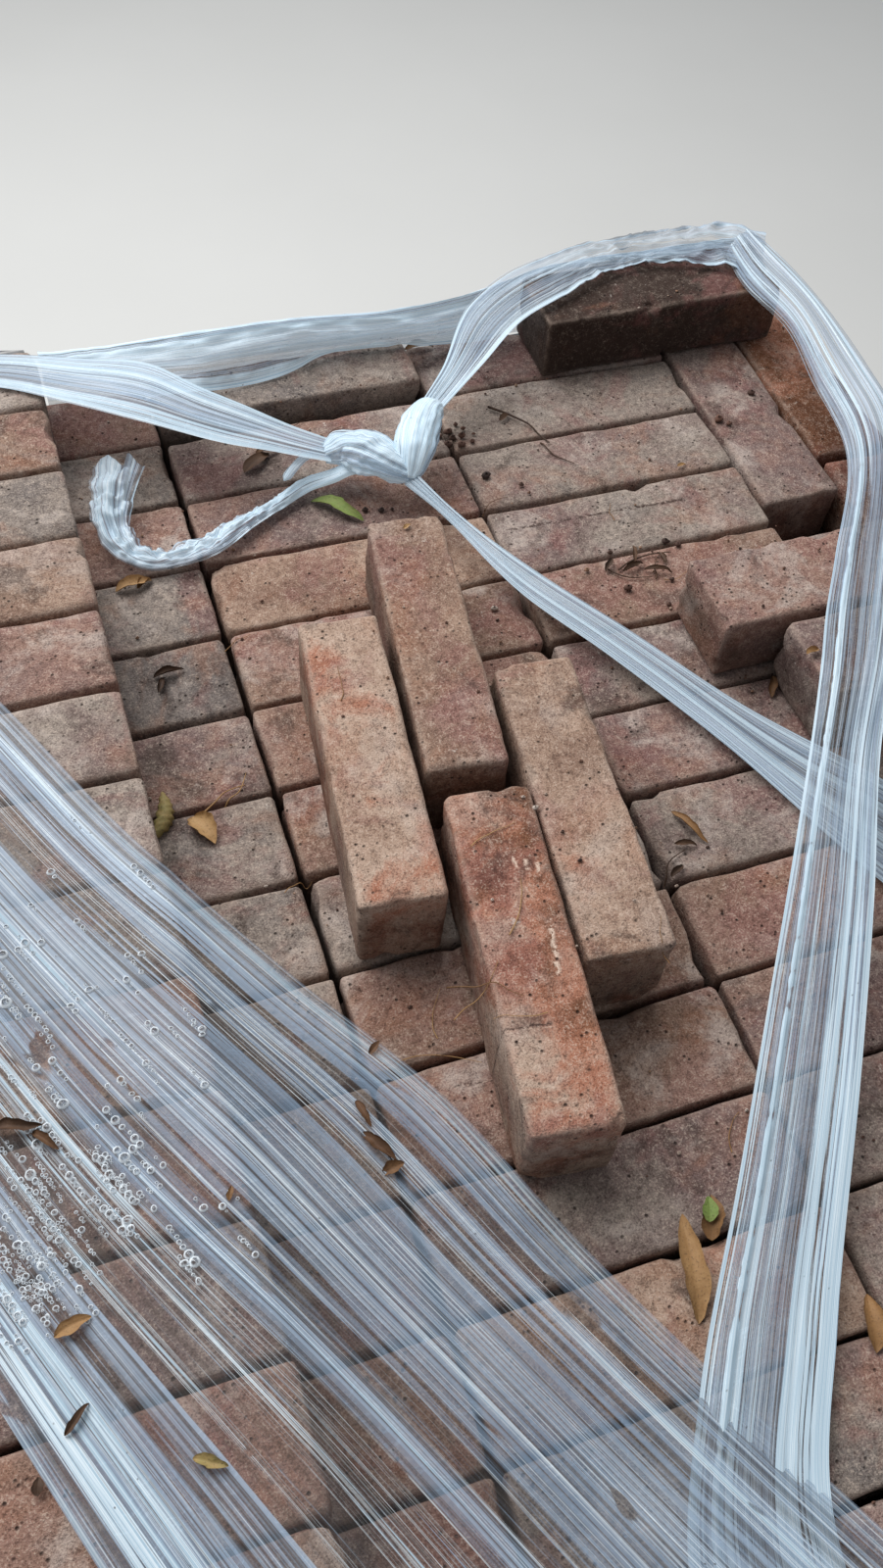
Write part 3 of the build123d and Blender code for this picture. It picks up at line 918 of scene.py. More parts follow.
def add_corner_band():
    """The wide band over the front left corner, from the part course down to the open one."""
    inner = ((-388, back_mm, 51), (-209, 199, 51), (-149, 75, 51), (-92, -12, 30), (-36, -91, 6),
             (9, -186, 3), (90, -337, 3), (196, front_mm, 3))
    middle = ((left_mm, back_mm, 51), (-300, 139, 51), (-197, -84, 51), (-110, -232, 34), (36, front_mm, 4))
    outer = ((left_mm, 338, 51), (-368, 80, 51), (-263, -179, 51), (-194, -349, 51), (-125, front_mm, 48))
    grid, flow, v, u = drawn_tight((inner, middle, outer), along=150, across=105, clear=1.2, rounds=500,
                                   lengthwise=0.75)
    held_down = np.minimum(1, v * np.linspace(1, 0, len(v))[:, None] * 30)
    rise = pleats(flow, 1.1, 17, 300) + 0.9 * MM
    grid = lifted(grid, np.maximum(rise, 0.1 * MM) * held_down)
    veil = 0.62 + 0.38 * np.minimum(1, np.minimum(u, 1 - u) * 16)
    veil = veil + 0.2 * hill(u, 0.085, 0.03) * np.clip(3 - 4.5 * v, 0, 1)
    veil = veil + 0.2 * hill(u, 0.5, 0.02) + 0.16 * np.clip(u * 4 - 2.6, 0, 1)
    add_sheet("corner_band", grid, flow, veil, clear_film, "film_corner_band")


def add_side_band():
    """The long band: a rope along the right edge at the back, then spread over two bricks to the front."""
    near = ((404, 500, 54), (400, 460, 55), (408, 400, 54), (398, 340, 54), (387, 270, 53), (325, 171, 52),
            (295, 128, 52), (263, 77, 52), (203, -13, 48), (145, -99, 35), (92, -178, 20), (33, -263, 9),
            (2, -319, 6), (-14, -400, 5), (-28, front_mm, 5))
    far = ((438, 519, 56), (444, 460, 60), (446, 400, 60), (444, 340, 58), (438, 280, 56), (408, 214, 53),
           (380, 170, 52), (340, 110, 52), (280, 27, 50), (228, -62, 42), (174, -151, 30), (110, -254, 12),
           (72, -323, 6), (62, -400, 5), (52, front_mm, 5))
    grid, flow, v, u = drawn_tight((near, far), along=230, across=46, clear=5.2, rounds=60)
    rope = np.clip((0.3 - v) * 9, 0, 1)
    bow = 9 * MM * np.sin(math.pi * u) * rope
    rise = pleats(flow, 1.0, 7, 260, 0.3) * (1 + 1.2 * rope)
    knobs = 1 + 0.9 * dent(flow * (0, 1, 0), 5 * MM)
    bead = 1.1 * MM * hill(u, 0.2, 0.02) * (1 - rope) * knobs
    grid = lifted(grid, rise + bead + bow)
    opaque = np.clip((u - 0.5) * 5, 0, 1) * np.clip(v * 1.6 - 0.25, 0.25, 1)
    veil = 0.95 + 1.3 * hill(u, 0.2, 0.022) * knobs + 0.42 * opaque + 0.6 * hill(u, 0.01, 0.02)
    add_sheet("side_band", grid, flow, veil * (1 - rope) + 1.08 * rope, band_film, "film_side_band")


def add_straps():
    """The three straps that the knot holds together."""
    upper = ((left_mm, 512, 52), (-320, 514, 52), (-164, 513, 52), (-113, 496, 53), (-65, 480, 51),
             (-35, 451, 48), (-7, 429, 42), (20, 408, 36), (46, 392, 30))
    lower = ((left_mm, 478, 52), (-320, 478, 52), (-169, 476, 52), (-127, 449, 52), (-85, 422, 51),
             (-28, 392, 43), (2, 384, 36), (20, 379, 30), (40, 374, 26))
    grid, flow, *_ = drawn_tight((upper, lower), along=110, across=44, clear=1.2, rounds=60)
    grid = lifted(grid, pleats(flow, 0.9, 6, 320, 0.11))
    add_sheet("left_strap", grid, flow, 0.95, bunched_film, "film_left_strap")

    rear = ((117, 411, 30), (142, 437, 36), (187, 497, 46), (225, 517, 54), (262, 524, 59), (305, 529, 61),
            (366, 530, 60), (412, 528, 61), (442, 508, 60))
    fore = ((125, 398, 28), (173, 431, 40), (217, 462, 50), (257, 477, 55), (301, 496, 57), (330, 501, 54),
            (376, 491, 54), (402, 478, 54), (408, 446, 55))
    grid, flow, v, u = drawn_tight((rear, fore), along=150, across=46, clear=1.6, rounds=40)
    rise = pleats(flow, 1.1, 7, 200, 0.47) + crumples(flow, 3.0, 14, 0.9) * np.clip(v * 4 - 1.6, 0, 1)
    grid = lifted(grid, rise + 1.2 * MM)
    veil = 1.2 - 0.42 * np.clip(v * 4 - 0.4, 0, 1) + 0.5 * hill(u, 0.04, 0.04) + 0.5 * hill(u, 0.96, 0.04)
    add_sheet("back_strap", grid, flow, veil, band_film, "film_back_strap")

    upper = ((93, 344, 30), (105, 316, 24), (151, 233, 20), (187, 182, 15), (238, 105, 8), (295, 35, 4),
             (360, -62, 3), (425, -165, 3), (right_mm, -240, 3))
    lower = ((83, 340, 25), (94, 320, 22), (132, 222, 18), (167, 166, 12), (213, 81, 6), (261, -37, 4),
             (318, -150, 3), (392, -285, 3), (right_mm, -437, 3))
    grid, flow, v, u = drawn_tight((upper, lower), along=140, across=52, clear=1.6, rounds=60)
    grid = lifted(grid, pleats(flow, 0.9, 6, 340, 0.83) + 0.6 * MM)
    parting = hill(u, 0.42, 0.07) * np.clip(v * 2.2 - 0.35, 0, 1)
    add_sheet("right_strap", grid, flow, 1.05 - 0.2 * v - 0.55 * parting, bunched_film, "film_right_strap")


def add_back_rim():
    """Film that stands along the back edge, folded forward over the back row."""
    start = part_mm + 2
    foot = [(x, back_mm + 2, -6) for x in (start, 100, 300, 434)]
    crest = ((start, 518, 46), (-90, 515, 46), (-24, 512, 49), (49, 510, 49), (123, 503, 49), (186, 506, 50),
             (260, 519, 55), (340, 521, 54), (434, 521, 53))
    inside = ((start, 499, 42), (-90, 497, 41), (-24, 497, 40), (49, 500, 40), (123, 494, 36), (190, 501, 36),
              (250, 512, 50), (340, 514, 53), (434, 514, 53))
    hem = ((start, 494, 40), (-104, 482, 41), (-72, 457, 40), (-40, 460, 37), (-15, 479, 17), (35, 488, 15),
           (74, 504, 15), (132, 503, 12), (174, 507, 4), (226, 509, 4), (250, 509, 51), (340, 511, 52),
           (434, 511, 52))
    grid, flow, _, u = drawn_tight((foot, crest, inside, hem), along=150, across=46, clear=1.0, rounds=6,
                                   lengthwise=0.7)
    loose = np.clip((u - 0.3) * 3, 0, 1) * np.clip((1 - u) * 8, 0.2, 1)
    grid = lifted(grid, crumples(flow, 2.2, 16) * loose + pleats(flow, 0.9, 6, 160))
    grid[..., 1] = np.minimum(grid[..., 1], back + 6 * MM)
    veil = 0.85 + 0.3 * hill(u, 0.36, 0.12) + 0.7 * hill(u, 0.985, 0.03) - 0.35 * hill(u, 0.72, 0.13)
    add_sheet("back_rim", grid, flow, veil, standing_film, "film_back_rim")


def about_line(line, across, up):
    """Rows of points about a line: so far across it and above it, with little twist."""
    ahead = np.gradient(line, axis=0)
    ahead /= np.linalg.norm(ahead, axis=1, keepdims=True)
    side = np.cross(ahead, (0, 0, 1.0))
    side /= np.linalg.norm(side, axis=1, keepdims=True)
    over = np.cross(side, ahead)
    return line[:, None] + side[:, None] * across[..., None] + over[:, None] * up[..., None]


def profile(count, places, sizes):
    """Sizes along a line, given in millimetres at some places from 0 to 1."""
    return np.interp(np.linspace(0, 1, count), places, sizes) * MM


def sleeve(line, wide, high, around, deep, pitch, seed, crumpled=0.0):
    """A tube of gathered film round a line, its pleats running along it, and its flow."""
    angle = np.linspace(0, 2 * math.pi, around, endpoint=False)[None, :]
    gone = gone_along(line)[:, None]
    girth = 2 * math.pi * (wide.max() + high.max()) / 2
    flow = grid_of(angle / (2 * math.pi) * girth, gone, 0.0)
    about = grid_of(np.cos(angle) * girth / (2 * math.pi), np.sin(angle) * girth / (2 * math.pi), gone) + seed
    drawn = about * (1, 1, 0.12)
    wave = hump(drawn, pitch) + 0.6 * dent(drawn, pitch * 0.45)
    fold = 0.6 - 1.6 * np.abs(hump(about, 9 * MM)) - 0.8 * np.abs(dent(about, 4 * MM))
    radius = 1 + (deep * wave + crumpled * fold)
    across, up = np.cos(angle) * wide[:, None] * radius, np.sin(angle) * high[:, None] * radius
    return about_line(line, across, up), flow


def add_knot():
    """Two lobes of gathered film, with a frayed end between them."""
    right_line = ((128, 403, 34), (119, 396, 37), (106, 378, 38), (95, 357, 36), (88, 343, 26))
    left_line = ((90, 346, 26), (80, 354, 30), (66, 371, 31), (52, 384, 27), (38, 386, 24))
    cuff_line = ((37, 386, 27), (24, 384, 26), (12, 376, 24), (4, 368, 22))
    swell = profile(46, (0, 0.1, 0.35, 0.7, 0.92, 1), (5.5, 11, 15, 15, 10, 5))
    flat = profile(46, (0, 0.12, 0.4, 0.75, 1), (5, 9, 12, 11, 5))
    puff = profile(46, (0, 0.15, 0.45, 0.8, 1), (6, 12, 17, 15, 9))
    low = profile(46, (0, 0.15, 0.5, 0.85, 1), (6, 10, 13, 9, 5))
    frayed = profile(24, (0, 0.4, 0.9, 1), (5, 3.6, 3.2, 0.6))
    knot = Joined()
    for points, wide, high, around, deep, pitch, seed, crumpled, veil in (
            (right_line, swell, flat, 90, 0.09, 3.2 * MM, 0.2, 0.06, 1.15),
            (left_line, puff, low, 90, 0.12, 4 * MM, 0.9, 0.15, 0.85),
            (cuff_line, frayed, frayed * 0.5, 20, 0.25, 3 * MM, 1.7, 0.0, 0.6)):
        line = through(above_open(points), len(wide))
        form, flow = sleeve(line, wide, high, around, deep, pitch, seed, crumpled)
        size = len(line) * around
        last = size - around
        faces = grid_faces(len(line), around, closed=True).tolist()
        faces += [(size, i, (i + 1) % around) for i in range(around)]
        faces += [(size + 1, last + (i + 1) % around, last + i) for i in range(around)]
        flow = flow.reshape(-1, 3)
        knot.add(np.concatenate([form.reshape(-1, 3), [form[0].mean(axis=0), form[-1].mean(axis=0)]]), faces,
                 flow=np.concatenate([flow, flow[:1], flow[-1:]]), veil=veil)
    piece = knot.make("knot", knot_film)
    shape = bmesh.new()
    shape.from_mesh(piece.data)
    bmesh.ops.recalc_face_normals(shape, faces=shape.faces)
    shape.to_mesh(piece.data)
    shape.free()
    stand_in(piece, "film_knot")
    return piece


def add_tail(knot):
    """The loose end of the tie: a lip under the knot, then a creased ribbon that ends torn."""
    route = ((91, 347, 22), (78, 352, 25), (67, 362, 25), (54, 369, 21), (41, 372, 14), (21, 374, 8),
             (-1, 364, 6), (-30, 350, 6), (-58, 335, 6), (-82, 330, 6), (-101, 331, 7), (-114, 345, 9),
             (-117, 369, 11), (-111, 396, 14), (-102, 420, 14))
    rows = 150
    along = np.linspace(0, 1, rows)[:, None]
    wide = profile(rows, (0, 0.08, 0.25, 0.38, 0.55, 0.72, 0.8, 0.92, 1), (4, 7, 6.5, 5, 10, 8, 11, 15, 17))
    over = np.linspace(-1, 1, 26)[None, :]
    bow = (1 - over ** 2) * np.interp(along, (0, 0.2, 0.4, 1), (6, 5, 3, 4)) * MM
    grid = about_line(through(above_open(route), rows), over * wide[:, None], 0 * over)
    grid[..., 2] += bow
    flow = flow_over(grid)
    rise = pleats(flow, 1.3, 6, 60, 0.65) + crumples(flow, 4.4, 9, 0.4) * np.clip(along * 3 - 0.6, 0, 1)
    grid = lifted(grid, rise)
    grid[..., 2] = np.maximum(grid[..., 2], tops(grid[..., :2]) + 0.8 * MM)
    torn = np.clip((along - 0.93) / 0.07, 0, 1) * dent(flow * (1, 0, 0), 5 * MM)
    grid = grid + np.array([0.1, 1, 0]) * (8 * MM * torn)[..., None]
    veil = np.interp(along, (0, 0.3, 0.45, 0.9, 1), (1.3, 1.15, 0.95, 0.78, 0.6))
    add_sheet("tail", grid, flow, veil, knot_film, "film_tail")


# The wrap round the four sides

def outline(low_x, high_x, low_y, high_y, corner, count):
    """Points round a rectangle with round corners, from the middle of its back and closed."""
    turns = []
    for x, y, start in ((high_x - corner, high_y - corner, 90), (high_x - corner, low_y + corner, 0),
                        (low_x + corner, low_y + corner, -90), (low_x + corner, high_y - corner, -180)):
        for step in range(7):
            angle = math.radians(start - 15 * step)
            turns.append((x + corner * math.cos(angle), y + corner * math.sin(angle)))
    middle = ((low_x + high_x) / 2, high_y)
    return evenly(np.array([middle, *turns, middle]), count)


def add_wrap():
    """Film round the pack, from under the deck's edge up to the bricks' tops."""
    gap, corner = 2.2 * MM, 10 * MM
    skirt, flare_top = deck_top - 28 * MM, deck_top + 40 * MM
    lap_rise, girth = 170 * MM, 3.9
    columns, rows = 460, 84
    round_pack, round_deck = (
        outline(low_x - gap, high_x + gap, low_y - gap, high_y + gap, corner, columns)
        for low_x, high_x, low_y, high_y in ((left, right, front, back),
                                             (deck_left, deck_right, deck_front, deck_back)))
    around = gone_along(round_pack)
    edge = around[:, None] * (1, 0, 0)
    top = np.where(round_pack[:, 0] < part_edge, part_top + 1 * MM, open_top - 6 * MM)
    top = top + 3.5 * MM * hump(edge, 60 * MM) - 3.5 * MM
    share = np.linspace(0, 1, rows)[:, None]
    z = skirt + share * (top - skirt)
    z = z + (1 - share) ** 12 * 9 * MM * dent(edge, 38 * MM)
    pulled = np.clip((z - deck_top) / (flare_top - deck_top), 0, 1)
    pulled = 1 - (1 - pulled) ** 1.6
    plan = round_deck * (1 - pulled[..., None]) + round_pack * pulled[..., None]
    grid = np.concatenate([plan, z[..., None]], axis=2)
    flow = grid_of(z, around, 0.37)
    outward = np.gradient(round_pack, axis=0)[:, ::-1] * (1, -1)
    outward /= np.linalg.norm(outward, axis=1, keepdims=True)
    outward *= np.sign((outward * round_pack).sum())
    ripple = pleats(flow + flow[..., 1:2] * (0.13, 0, 0), 0.9, 24, 420)
    gathers = dent(flow * (0.25, 1, 1), 16 * MM) * (1 - pulled) * 2.2 * MM
    grid[..., :2] += outward * np.clip(ripple + gathers, -1.4 * MM, 4 * MM)[..., None]
    lap = (z / lap_rise + around / girth) % 1.0
    veil = 0.72 + 0.5 * hill(lap, 0.5, 0.018) + 0.18 * (lap > 0.5)
    veil = veil + 0.5 * share ** 40 + 0.4 * (1 - share) ** 30
    add_sheet("side_wrap", grid[:, ::-1], flow[:, ::-1], veil[:, ::-1], clear_film, "film_wrap")


# The pallet

def wood_material(name, grain_axis):
    """Rough sawn softwood, weathered grey in places, its grain along an axis."""
    s = Shader(name)
    place = s.place()
    scale = [1.0, 1.0, 1.0]
    scale[grain_axis] = 0.07
    grain = s.stretched(place, tuple(scale), (0.3, 0.2, 0.7))
    broad = s.noise(grain, 16.0, 2.0, 0.5, 1.2)
    rings = s.noise(grain, 95.0, 4.0, 0.65, 1.6)
    fibres = s.noise(grain, 520.0, 3.0, 0.7)
    stain = s.noise(s.stretched(place, shift=(0.6, 0, 0.1)), 9.0, 4.0, 0.6)
    knot = s.spots(s.stretched(place, tuple(0.35 if i == grain_axis else 1.0 for i in range(3))), 9.0)
    colour = s.laid_over(
        s.ramp(rings * 0.6 + broad * 0.4, (0.3, 134, 106, 74), (0.46, 176, 143, 101), (0.56, 198, 168, 124),
               (0.7, 160, 128, 88)),
        (stain.between(0.42, 0.68) * 0.7, 142, 132, 118),
        (fibres.between(0.52, 0.7) * 0.45, 96, 74, 52),
        ((1 - knot.between(0.06, 0.13)) * 0.8, 86, 58, 38))
    relief = rings * 0.5 + fibres * 0.5
    return s.finish(Base_Color=colour, Roughness=0.78 + fibres * 0.12, Normal=s.bump(relief, 1.2 * MM, 0.7),
                    Specular_IOR_Level=0.3)


def finish_pallet():
    across = wood_material("wood_across", 0)
    lengthwise = wood_material("wood_lengthwise", 1)
    for name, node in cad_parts.items():
        if name.startswith("deck_board"):
            node.material_slots[0].material = across
        elif name.startswith(("stringer_board", "skid", "pallet_block")):
            node.material_slots[0].material = lengthwise


def nail_material():
    s = Shader("nail_steel")
    spread = s.noise(s.place(), 240.0, 3.0, 0.6)
    rust = spread.between(0.4, 0.6)
    colour = s.mix(rust, rgb(122, 118, 112), rgb(112, 70, 46))
    return s.finish(Base_Color=colour, Roughness=0.45 + spread * 0.3, Metallic=0.85 - rust * 0.7)


def add_nails():
    """Nail heads in the deck boards, at their ends and near their middles."""
    tree = Repeat("nail_heads", Radius="Float", Height="Float", Lean="Float", Seed="Int")
    head = tree.node("GeometryNodeMeshCone", None,
                     {"Vertices": 10, "Side Segments": 2, "Radius Top": tree.input("Radius") * 0.72,
                      "Radius Bottom": tree.input("Radius"), "Depth": tree.input("Height")})
    lean = tree.jitter(tree.input("Lean"))
    laid = tree.node("GeometryNodeInstanceOnPoints", None,
                     {"Points": tree.input("Geometry"), "Instance": head, "Rotation": lean})
    tree.finish(laid, nail_material())
    points = []
    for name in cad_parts:
        if name.startswith("deck_board"):
            low_corner, high_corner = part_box(name)
            middle = (low_corner.y + high_corner.y) / 2
            for x in (deck_left + 14 * MM, -24 * MM, 26 * MM, deck_right - 14 * MM):
                for y in (middle - 33 * MM, middle + 31 * MM):
                    off_x, off_y = chance.uniform(-3, 3) * MM, chance.uniform(-5, 5) * MM
                    points.append((x + off_x, y + off_y, deck_top))
    base = add_mesh("places", points, [])
    piece = tree.grow("nails", base, Radius=3.4 * MM, Height=1.2 * MM, Lean=0.12, Seed=4)
    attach(piece, "root")


# Leaves, twigs, straw and grit

def leaf_form(length, width, curl, twist, seed):
    """A dry leaf along X: pointed at both ends, curled across and along, with a raised midrib."""
    rows, columns = 22, 11
    t = np.linspace(0, 1, rows)[:, None]
    s = np.linspace(-1, 1, columns)[None, :]
    half = width / 2 * np.sin(math.pi * t ** 0.8) ** 0.75 + 0.3 * MM
    ragged = 1 + 0.14 * dent(grid_of(30 * t * MM, 4 * s * MM + seed, 0.0), 3 * MM)
    y = half * ragged * np.sin(s * curl) / curl
    z = half * (1 - np.cos(s * curl)) / curl
    z = z + 0.12 * length * np.sin(math.pi * t) - 0.6 * MM * hill(s, 0, 0.12)
    turn = twist * (t - 0.5)
    y, z = y * np.cos(turn) - z * np.sin(turn), y * np.sin(turn) + z * np.cos(turn)
    points = grid_of(length * (t - 0.5), y, z)
    points += 0.5 * MM * hump(points + seed, 5 * MM)[..., None]
    return points.reshape(-1, 3), grid_faces(rows, columns).tolist()


def tube_form(points, radius, around=6):
    """A thin stalk along some points, tapering to its end."""
    line = through(points, 3 * len(points))
    angle = np.linspace(0, 2 * math.pi, around, endpoint=False)[None, :]
    thick = (radius * np.linspace(1, 0.45, len(line)))[:, None]
    form = about_line(line, np.cos(angle) * thick, np.sin(angle) * thick)
    return form.reshape(-1, 3), tube_faces(len(line), around)


def lump_form(size, seed):
    """A pebble or crumb: a small uneven ball."""
    rows, columns = 6, 9
    t = np.linspace(0.08, 0.92, rows)[:, None] * math.pi
    a = np.linspace(0, 2 * math.pi, columns, endpoint=False)[None, :]
    ball = grid_of(np.sin(t) * np.cos(a), np.sin(t) * np.sin(a), -np.cos(t)).reshape(-1, 3)
    radius = size * (0.5 + 0.16 * hump(ball + seed, 0.7) + 0.08 * dent(ball + seed, 0.3))
    return ball * radius[:, None] * (1, 0.8, 0.65), tube_faces(rows, columns)


def cone_form(length, width, seed):
    """A scaly dry seed cone along X, thickest in its middle."""
    rows, columns = 30, 12
    t = np.linspace(0.02, 0.98, rows)[:, None]
    a = np.linspace(0, 2 * math.pi, columns, endpoint=False)[None, :]
    scales = 1 + 0.22 * np.sin(t * 44 + 3 * np.sin(3 * a)) * np.cos(3 * a + 5 * t)
    thick = width / 2 * np.sin(math.pi * t ** 0.85) ** 0.6 * scales
    bend = 0.14 * length * (2 * t - 1) ** 2
    points = grid_of(length * (t - 0.5), thick * np.cos(a) + bend, thick * np.sin(a)).reshape(-1, 3)
    points += 0.4 * MM * dent(points + seed, 2 * MM)[:, None]
    return points, tube_faces(rows, columns)


def dry_material(name, stops, rough):
    """Plant matter: its colour goes by the tint of each bit, mottled and veined."""
    s = Shader(name)
    place = s.place()
    tint = s.attribute("tint")
    mottle = s.noise(place, 210.0, 4.0, 0.65)
    fine = s.noise(place, 900.0, 2.0, 0.6)
    colour = s.ramp((tint + (mottle - 0.5) * 0.22).clamp(), *stops)
    colour = s.laid_over(colour, (fine.between(0.55, 0.72) * 0.5, 58, 40, 24))
    relief = mottle * 0.6 + fine * 0.4
    return s.finish(Base_Color=colour, Roughness=rough, Normal=s.bump(relief, 0.6 * MM, 0.8))


def on_top(x, y, film=None):
    """The place on the bricks, or on a sheet's points, over a plan point in millimetres."""
    spot = np.array([x * MM, y * MM])
    if film is None:
        return np.array([*spot, tops(spot)])
    return np.array([*spot, film[np.argmin(((film[:, :2] - spot) ** 2).sum(axis=1)), 2]])


leaf_tints = ((0.00, 58, 40, 28), (0.20, 96, 66, 42), (0.45, 146, 108, 66), (0.65, 178, 142, 96),
              (0.82, 134, 130, 76), (1.00, 116, 136, 66))

# Leaves as (x, y, length, width, angle, curl, tint), millimetres and degrees
leaf_places = (
    (-114, 317, 25, 11, 8, 1.2, 0.56), (-107, 318, 12, 7, 30, 1.5, 0.4),
    (38, 351, 42, 12, -42, 0.9, 0.96), (-5, 414, 27, 11, 34, 0.7, 0.14), (6, 424, 20, 9, 12, 1.2, 0.22),
    (-113, 113, 24, 19, -70, 1.4, 0.64), (-108, 236, 20, 8, 5, 1.8, 0.06), (-114, 228, 13, 6, 60, 1.6, 0.02),
    (57, -206, 53, 14, 74, 0.9, 0.52), (78, -187, 23, 13, 66, 1.1, 0.36), (131, -257, 27, 13, 70, 1.2, 0.44),
    (167, 33, 30, 7, -66, 1.5, 0.4), (160, 22, 14, 5, -20, 1.5, 0.12), (147, 6, 12, 6, 30, 1.6, 0.05),
    (189, 416, 10, 5, 20, 0.8, 0.1), (268, 119, 19, 8, 62, 1.5, 0.24), (274, 104, 11, 6, 20, 1.4, 0.5),
    (152, 512, 24, 8, -4, 1.2, 0.3), (222, 244, 17, 6, 12, 1.6, 0.06), (238, 236, 20, 5, -24, 1.5, 0.1),
    (206, 250, 14, 6, 48, 1.6, 0.04), (228, 256, 16, 4, 75, 1.4, 0.14), (246, 247, 12, 5, 100, 1.4, 0.08),
    (17, 152, 9, 4, 30, 1.0, 0.6), (58, 262, 6, 3, 20, 1.0, 0.62), (300, 332, 8, 3, 10, 1.0, 0.6),
)
film_leaf_places = (
    (-228, -156, 17, 7, 12, 1.0, 0.5), (-233, -193, 15, 4, 38, 1.2, 0.1), (-252, -213, 7, 5, 80, 0.9, 0.04),
    (-238, -60, 24, 8, -10, 1.5, 0.1), (-226, -70, 16, 6, -50, 1.5, 0.2), (-78, -94, 16, 5, -75, 1.4, 0.2),
    (-76, -112, 22, 8, -58, 1.6, 0.16), (-72, -124, 12, 8, 10, 1.4, 0.26),
    (-184, -226, 15, 6, -30, 1.3, 0.74), (-62, -60, 8, 4, 30, 1.0, 0.2), (-150, -120, 7, 3, 70, 1.0, 0.3),
)


def add_leaves():
    litter = Joined()
    band = points_of(bpy.data.objects["corner_band"].data)
    places = [(*place, None) for place in leaf_places] + [(*place, band) for place in film_leaf_places]
    for number, (x, y, length, width, angle, curl, tint, film) in enumerate(places):
        form, faces = leaf_form(length * MM, width * MM, curl, chance.uniform(-0.9, 0.9), 0.37 * number)
        form = turned(form, math.radians(angle))
        litter.add(form - (0, 0, form[:, 2].min() - 0.3 * MM) + on_top(x, y, film), faces, tint=tint)
    form, faces = leaf_form(13 * MM, 8 * MM, 0.6, 0.2, 5.1)
    litter.add(turned(form, 1.2) + on_top(77, -184) + (0, 0, 5.5 * MM), faces, tint=1.0)
    form, faces = cone_form(34 * MM, 10 * MM, 2.3)
    litter.add(turned(form, math.radians(68)) + on_top(-133, 128) + (0, 0, 4.6 * MM), faces, tint=0.76)
    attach(litter.make("leaves", dry_material("dry_leaf", leaf_tints, 0.7)), "root")


# Stalks as (x, y, angle, length, bow, thickness, tint)
stalk_places = (
    (196, 405, -58, 58, 6, 2.0, 0.02), (214, 372, -66, 38, -5, 1.4, 0.05), (-98, 131, 24, 34, 3, 1.4, 0.5),
    (-88, 138, 44, 26, -3, 1.1, 0.55), (232, 247, 8, 44, 5, 1.6, 0.03), (216, 240, -30, 34, -4, 1.3, 0.05),
    (240, 240, 60, 24, 3, 1.1, 0.1), (148, 10, 40, 26, 4, 1.3, 0.03), (-5, -61, -30, 40, 5, 0.9, 0.3),
    (31, 25, 15, 30, 2, 0.7, 0.62), (26, -20, 60, 34, -4, 0.8, 0.56), (-27, -67, -18, 46, 5, 0.7, 0.55),
    (-18, -40, 70, 30, 4, 0.6, 0.6), (-8, -58, 33, 38, -3, 0.7, 0.5), (8, -78, 160, 26, 3, 0.6, 0.58),
    (-35, -88, 110, 30, -4, 0.6, 0.5), (120, 20, 40, 20, 2, 0.7, 0.3), (96, -60, 80, 24, 3, 0.6, 0.4),
    (150, 330, 20, 22, 3, 0.8, 0.2), (60, 430, 35, 26, 5, 0.7, 0.12), (28, 452, 10, 34, -6, 0.8, 0.1),
    (230, 300, 75, 18, 2, 0.7, 0.34), (250, 230, 15, 24, -3, 0.6, 0.5), (300, -10, 60, 28, 3, 0.7, 0.42),
    (330, 50, 100, 22, 2, 0.6, 0.3), (-60, 250, 25, 22, 2, 0.7, 0.44), (-20, 150, 80, 26, -2, 0.6, 0.4),
    (-70, 60, 12, 18, 2, 0.6, 0.5), (110, -150, 55, 24, 3, 0.7, 0.46), (60, -270, 15, 20, 2, 0.6, 0.52),
    (180, -250, 120, 30, 4, 0.7, 0.4), (260, -320, 30, 26, -3, 0.7, 0.5), (340, -400, 70, 34, 3, 0.8, 0.45),
)


def add_stalks():
    litter = Joined()
    for x, y, angle, length, bow, thick, tint in stalk_places:
        share = np.linspace(-0.5, 0.5, 6)
        line = np.stack([share * length * MM, bow * MM * np.cos(math.pi * share), 0 * share], axis=1)
        line[:, :2] += chance.uniform(-0.8, 0.8, (6, 2)) * MM
        line = turned(line, math.radians(angle)) + (x * MM, y * MM, 0)
        high = tops(line[:, :2])
        line[:, 2] = np.maximum(high, high.max() - 8 * MM) + (thick * 0.6 + 0.3) * MM
        litter.add(*tube_form(line, thick / 2 * MM), tint=tint)
    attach(litter.make("twigs_and_straw", dry_material("dry_stalk", leaf_tints, 0.75)), "root")


grit_tints = ((0.0, 44, 36, 34), (0.4, 104, 74, 62), (0.7, 156, 122, 98), (1.0, 206, 198, 190))

